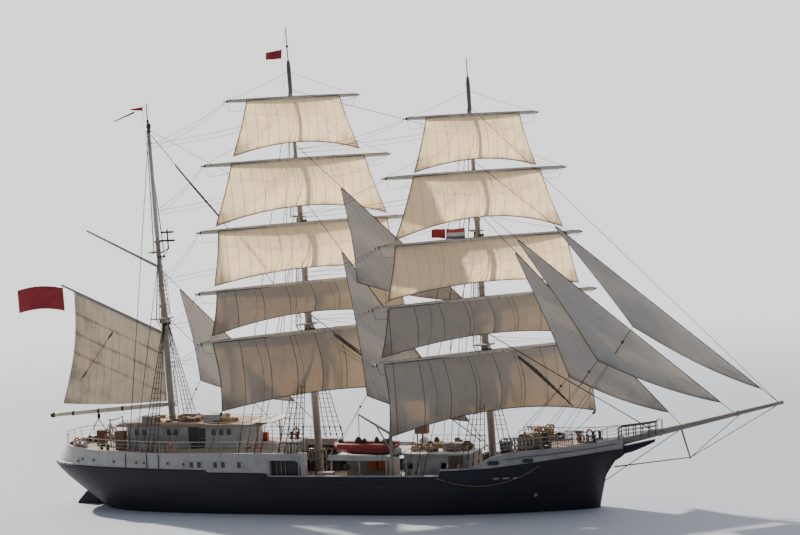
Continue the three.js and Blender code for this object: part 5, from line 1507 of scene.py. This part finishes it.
heap, stack = Shape(), Shape()
seed = np.random.default_rng(5)
angle = aroundCircle(16)
for side in (-1, 1):
    for k in range(60):
        lift = 1.05 * seed.random() ** 1.3
        centre = np.array([seed.uniform(16.6 + 0.3 * lift, 18.7 - 0.3 * lift),
                           side * seed.uniform(2.3, 3.1), 5.2 + lift])
        tilt = seed.uniform(-0.6, 0.6)
        radius = seed.uniform(0.14, 0.26)
        ring = np.stack([radius * np.cos(angle), radius * np.sin(angle) * sin(tilt),
                         radius * np.sin(angle) * cos(tilt)], axis=-1)
        heap.tube(centre + ring, 0.06, 5, closed=True)
    for level in range(4 if side < 0 else 2):
        y = side * 2.7
        stack.box([18.75, y, 5.15 + 0.36 * level], [19.25, y + side * 0.3, 5.42 + 0.36 * level])
heap.fit("heaped_coils", tanRope, "canvas")
stack.fit("stacked_crates", greenCloth, "wire", smooth=False, bevel=0.02)

bitts = Shape()
aft, waist = floors["quarterdeck"], floors["main"]
for x, y, z in ((22.4, 1.1, 5.5), (22.4, -1.1, 5.5), (19.0, 2.6, 5.1), (19.0, -2.6, 5.1),
                (-23.4, 1.8, aft), (-23.4, -1.8, aft), (-19.6, 3.9, aft), (-19.6, -3.9, aft),
                (-5.2, 4.3, aft), (9.6, -4.3, waist), (9.6, 4.3, waist)):
    for shift in (-0.28, 0.28):
        bitts.turned([(0.01, 0), (0.13, 0.0), (0.13, 0.5), (0.18, 0.52), (0.18, 0.6), (0.01, 0.64)],
                     (x + shift, y, z), sides=12)
    bitts.box([x - 0.5, y - 0.2, z - 0.02], [x + 0.5, y + 0.2, z + 0.04])
capstan = [(0.01, 0), (0.36, 0), (0.36, 0.08), (0.2, 0.2), (0.17, 0.5), (0.2, 0.75), (0.34, 0.9),
           (0.34, 1.02), (0.01, 1.06)]
binnacle = [(0.01, 0), (0.3, 0), (0.26, 0.3), (0.22, 0.7), (0.26, 0.95), (0.3, 1.0), (0.24, 1.2),
            (0.1, 1.32), (0.01, 1.34)]
drum = [(0.01, -0.5), (0.3, -0.5), (0.3, -0.44), (0.2, -0.42), (0.2, 0.42), (0.3, 0.44), (0.3, 0.5),
        (0.01, 0.5)]
bitts.turned(capstan, (21.2, 0, 5.24), sides=18)
bitts.turned(binnacle, (-19.6, 0, aft), sides=18)
bitts.box([15.3, -3.2, 4.84], [16.1, -2.3, 5.38])
bitts.turned(drum, (15.7, -2.75, 5.6), (1, 0, 0), 16)
bitts.fit("bitts_and_capstan", darkIron, "wire", bevel=0.01)

# Chocks and slanting posts on the waist rail
posts = Shape()
for places, lean, low, high in (((7.3, 7.75, 8.25, 8.75), 0.22, 3.26, 3.8), ((11.2, 12.1), 0.05, 3.75, 4.2)):
    for x in places:
        for side in (-1, 1):
            y = side * (float(halfAt(x)) - 0.1)
            posts.tube([[x, y, low], [x + lean, y, high]], 0.05, 6)
posts.fit("rail_posts", whitePaint, "topside_white")

fender = Shape()
angle = np.linspace(0, pi, 13)
ball = np.stack([0.3 * np.sin(angle) + 0.001, -0.3 * np.cos(angle)], axis=-1)
fender.turned(ball, (2.3, -4.05, 3.85), sides=20)
fender.tube([[2.3, -4.05, 4.13], [2.3, -4.05, 4.42]], 0.02, 5)
fender.fit("ball_fender", darkIron, "wire")

# Fittings of the masts: bands, truck caps, sleeves over the poles, the scanner and aerials
fittings, caps = Shape(), Shape()
mastSleeves = {
    "fore": ((0.16, 32.9), (0.17, 33.6), (0.17, 35.2), (0.13, 35.7)),
    "main": ((0.16, 35.1), (0.18, 35.8), (0.18, 37.4), (0.13, 37.9)),
    "mizzen": ((0.19, 23.2), (0.17, 28.0), (0.155, 32.4)),
}


def mastAxis(mast):
    # one metre up the mast
    return onMast(mast, [0, 0, 1.0]) - onMast(mast, [0, 0, 0.0])


for mast, plan in standing.items():
    lean = mastAxis(mast)
    foot = {"fore": 2.4, "main": 2.4, "mizzen": 7.4}[mast]
    for z in (foot + 0.3, plan["hounds"] - 0.9, plan["hounds"] - 2.2, plan["top"] + 1.1,
              plan["trees"] - 1.2, plan["gallant"] - 0.6, plan["trees"] + 1.4,
              (plan["top"] + plan["trees"]) / 2):
        r = mastRadius(mast, z)
        caps.turned([(r - 0.02, -0.1), (r + 0.03, -0.09), (r + 0.03, 0.09), (r - 0.02, 0.1)],
                    onMast(mast, [0, 0, z]), lean, 18)
    for z in (plan["top"] - 0.55, plan["trees"] - 0.3):
        for y in (-0.36, 0.36):
            fittings.turned([(0.01, -0.06), (0.13, -0.05), (0.13, 0.05), (0.01, 0.06)],
                            onMast(mast, [0.3, y, z]), (0, 1, 0), 10)
    shoulder, r = mastSizes[mast]["radii"][-2]
    fittings.turned([(0.01, -0.25), (r + 0.05, -0.2), (r + 0.06, 0.0), (r + 0.03, 0.12), (0.01, 0.16)],
                    onMast(mast, [0, 0, shoulder]), lean, 12)
# the mizzen's radar post on its bracket, its two bars, and the aerials at the mastheads
for start, end, radius, sides in (((0.1, 0, 21.9), (0.95, 0, 22.25), 0.05, 6),
                                  ((0.1, 0, 21.2), (0.9, 0, 22.2), 0.035, 6),
                                  ((0.95, 0, 22.2), (0.95, 0, 23.95), 0.07, 8)):
    fittings.tube([onMast("mizzen", start), onMast("mizzen", end)], radius, sides)
for z, half in ((22.95, 0.62), (23.68, 0.56)):
    fittings.box(onMast("mizzen", [0.95 - half, -0.12, z]) - [0, 0, 0.06],
                 onMast("mizzen", [0.95 + half, 0.12, z]) + [0, 0, 0.06])
lamp = [(0.01, 0), (0.15, 0.02), (0.19, 0.2), (0.12, 0.3), (0.2, 0.45), (0.2, 0.75), (0.1, 0.85),
        (0.01, 0.86)]
fittings.turned(lamp, onMast("mizzen", [0.02, 0, 32.35]), sides=14)
fittings.turned([(0.01, 0), (0.1, 0.03), (0.13, 0.12), (0.1, 0.2), (0.01, 0.24)],
                onMast("main", [0, 0, 39.0]), sides=12)
for x, z0, z1 in ((0.18, 33.6, 35.1), (-0.12, 33.7, 34.7)):
    fittings.tube([onMast("mizzen", [x, 0.05, z0]), onMast("mizzen", [x, 0.05, z1])], 0.012, 5)
for mast, sleeve in mastSleeves.items():
    (low, foot), (high, head) = sleeve[0], sleeve[-1]
    profile = [(low * 0.5, foot - 0.01), *sleeve, (high * 0.5, head + 0.04)]
    pole = Shape().turned(profile, onMast(mast, [0, 0, 0]), mastAxis(mast), 16)
    pole.fit(mast + "_mast_sleeve", mizzenPaint if mast == "mizzen" else polePaint, "mast_buff")
fittings.fit("mast_fittings", darkIron, "wire")
caps.fit("mast_bands", buffPaint, "mast_buff")
ladder = Shape()
for z in np.arange(8.6, 20.6, 0.42):
    r = mastRadius("mizzen", z)
    ladder.tube([onMast("mizzen", [r + 0.02, -0.2, z]), onMast("mizzen", [r + 0.25, -0.2, z]),
                 onMast("mizzen", [r + 0.25, 0.2, z]), onMast("mizzen", [r + 0.02, 0.2, z])], 0.018, 4)
r = mastRadius("mizzen", 8)
for z0, z1 in ((8.5, 14.6), (15.3, 16.1), (16.5, 20.4)):
    for y in (-0.2, 0.2):
        ladder.tube([onMast("mizzen", [r + 0.24, y, z0]), onMast("mizzen", [r + 0.2, y, z1])], 0.02, 5)
ladder.fit("mizzen_ladder", darkIron, "wire")
print("deck gear set")


buntingThickness = 0.008


def flag(name, hoistTop, hoistFoot, fly, material, ripple, tail, phase):
    # cloth from a hoist, streaming aft and rippling more towards its fly
    v, u = np.meshgrid(np.linspace(0, 1, 9), np.linspace(0, 1, 33), indexing="ij")
    top, foot = np.array(hoistTop, dtype=float), np.array(hoistFoot, dtype=float)
    shrink = 1 - (1 - tail) * u
    v = 0.5 + (v - 0.5) * shrink
    wave = ripple * np.sin(7 * u + 1.2 * v + phase) * u
    points = lerp(top, foot, v[..., None]) + u[..., None] * np.asarray(fly, dtype=float)
    points = points + wave[..., None] * np.array([0.15, 1.0, 0.25])
    length = np.linalg.norm(np.diff(points[4], axis=0), axis=1).sum()
    hoist = np.linalg.norm(top - foot)
    piece = addPiece(name, "ship", material, points, gridFaces(9, 33),
                     uv=np.stack([u * length, v * hoist], axis=-1).reshape(-1, 2))
    thicken(piece, buntingThickness)
    area = clothSizes(points)[2]


# Flags: top and foot of the hoist, fly, cloth, ripple, share of the hoist at the tail, phase of the ripple
flags = {
    "main_flag": ((-3.28, 0, 38.85), (-3.36, 0, 38.08), (-1.42, -0.15, -0.12), redBunting, 0.1, 0.8, 0),
    "mizzen_pennant": ((-16.3, 0, 34.62), (-16.32, 0, 34.3), (-1.15, -0.12, -0.03), redBunting, 0.06, 0.3, 0),
    "mizzen_streamer": ((-17.1, -0.05, 34.27), (-17.12, -0.05, 34.1), (-1.9, -0.2, -0.72),
                        darkBunting, 0.06, 0.5, 2),
    "fore_flag": ((12.45, -1.1, 23.25), (12.45, -1.1, 22.42), (-1.55, -0.3, -0.05), tricolour, 0.1, 1, 1),
    "fore_small_flag": ((10.85, -1.3, 23.25), (10.83, -1.3, 22.45), (-1.1, -0.2, 0.05),
                        redBunting, 0.08, 0.85, 3),
}
for name, details in flags.items():
    flag(name, *details)
signals = Shape()
signals.tube([onMast("fore", [-0.35, -0.3, 27.0]), (12.47, -1.1, 23.4), (12.46, -1.1, 22.3),
              shroudFoot(12.2, -1) + [0, 0.1, 0.1]], 0.012, 4)
signals.tube([(10.88, -1.3, 23.3), (11.7, -1.2, 23.28), (12.46, -1.1, 23.26)], 0.012, 4)
signals.tube([onMast("main", [-0.02, 0, 40.4]), (-3.27, 0, 38.9), (-3.37, 0, 38.0),
              onMast("main", [-0.2, 0, 25.9])], 0.012, 4)
signals.tube([onMast("mizzen", [-0.02, 0, 34.8]), (-16.29, 0, 34.65), (-16.33, 0, 34.25),
              onMast("mizzen", [-0.2, 0, 23.2])], 0.012, 4)
signals.tube([(-16.3, 0, 34.3), (-17.1, -0.05, 34.2)], 0.014, 4)
signals.fit("signal_halyard", paleRope, "canvas")
print("flags hoisted")

# Camera: measured on the photo in pixels, with distances in metres of the full-size ship
view = {"horizon": 452.0, "centreX": 400.0, "centreY": 267.5, "alpha": radians(18.8), "distance": 180.0,
        "heel": radians(8.0), "eyeHeight": 4.49, "focal": 2100.0, "meridian": 338.1}


def setCamera():
    # a level camera off the starboard bow, turned with the ship so that its heel stays in the picture
    pitch = atan((view["horizon"] - view["centreY"]) / view["focal"])
    yaw = atan((view["meridian"] - view["centreX"]) / view["focal"])
    a = view["alpha"]
    back = Vector((sin(a), -cos(a), 0))
    across = Vector((cos(a), sin(a), 0))
    eye = back * view["distance"] + Vector((0, 0, view["eyeHeight"]))
    ahead = -back * cos(yaw) - across * sin(yaw)
    right = across * cos(yaw) - back * sin(yaw)
    aim = ahead * cos(pitch) + Vector((0, 0, 1)) * sin(pitch)
    up = -ahead * sin(pitch) + Vector((0, 0, 1)) * cos(pitch)
    heel = Matrix.Rotation(-view["heel"], 3, "X")
    eye, right, up, aim = (heel @ v for v in (eye, right, up, aim))
    camera = bpy.data.objects.new("camera", bpy.data.cameras.new("camera"))
    bpy.context.collection.objects.link(camera)
    camera.data.lens = 36 * view["focal"] / 800
    camera.data.clip_end = 2500
    camera.matrix_world = Matrix(((right.x, up.x, -aim.x, eye.x * scale),
                                  (right.y, up.y, -aim.y, eye.y * scale),
                                  (right.z, up.z, -aim.z, eye.z * scale), (0, 0, 0, 1)))
    bpy.context.scene.camera = camera


setCamera()

# Light and floor: the way that sunlight travels, the sky's two colours and how they fade, reach of the haze
light = {"travel": (0.809, -0.588, -0.623), "sun": 9.0, "angle": 2.0, "sunColour": (1.0, 0.93, 0.82),
         "skyStrength": 1.85, "farSky": (0.82, 0.82, 0.85), "nearSky": (0.11, 0.125, 0.155),
         "far": (-0.33, 0.945), "fade": (-0.5, 0.6), "floor": (0.34, 0.37, 0.42), "haze": (30.0, 110.0)}
sun = bpy.data.objects.new("sun", bpy.data.lights.new("sun", "SUN"))
sun.data.energy = light["sun"]
sun.data.angle = radians(light["angle"])
sun.data.color = light["sunColour"]
sun.rotation_mode = "QUATERNION"
sun.rotation_quaternion = Vector(light["travel"]).to_track_quat("-Z", "Y")
bpy.context.collection.objects.link(sun)


def skyGlow(s, direction):
    # pale all over on the far side of the ship, and dimmer behind the camera
    x, y, _ = s.split(direction)
    far = (x * light["far"][0] + y * light["far"][1]).ramp(light["fade"][0], light["fade"][1])
    return s.mix(far, light["nearSky"], light["farSky"])


s = Shader("studio_sky", world=True)
glow = skyGlow(s, s.node("ShaderNodeTexCoord"))
bpy.context.scene.world = s.finish(s.node("ShaderNodeBackground", None, Color=glow,
                                          Strength=light["skyStrength"]))

# the floor is plain near the ship and takes on the sky's colour far from it
s = Shader("pale_floor")
level = s.node("ShaderNodeVectorMath", {"operation": "NORMALIZE"}, s.place())
x, y, _ = s.split(s.place())
distance = (x * x + y * y) ** 0.5
plain = s.node("ShaderNodeBsdfPrincipled", None, Base_Color=(*light["floor"], 1.0), Roughness=0.75)
haze = s.node("ShaderNodeEmission", None, Color=skyGlow(s, level), Strength=light["skyStrength"])
floorShade = s.finish(s.node("ShaderNodeMixShader", None, distance.ramp(*light["haze"]), plain, haze))
floor = addPiece("floor", None, floorShade,
                 [[-2000, -2000, 0], [2000, -2000, 0], [2000, 2000, 0], [-2000, 2000, 0]],
                 [[0, 1, 2, 3]])

print("scene ready")
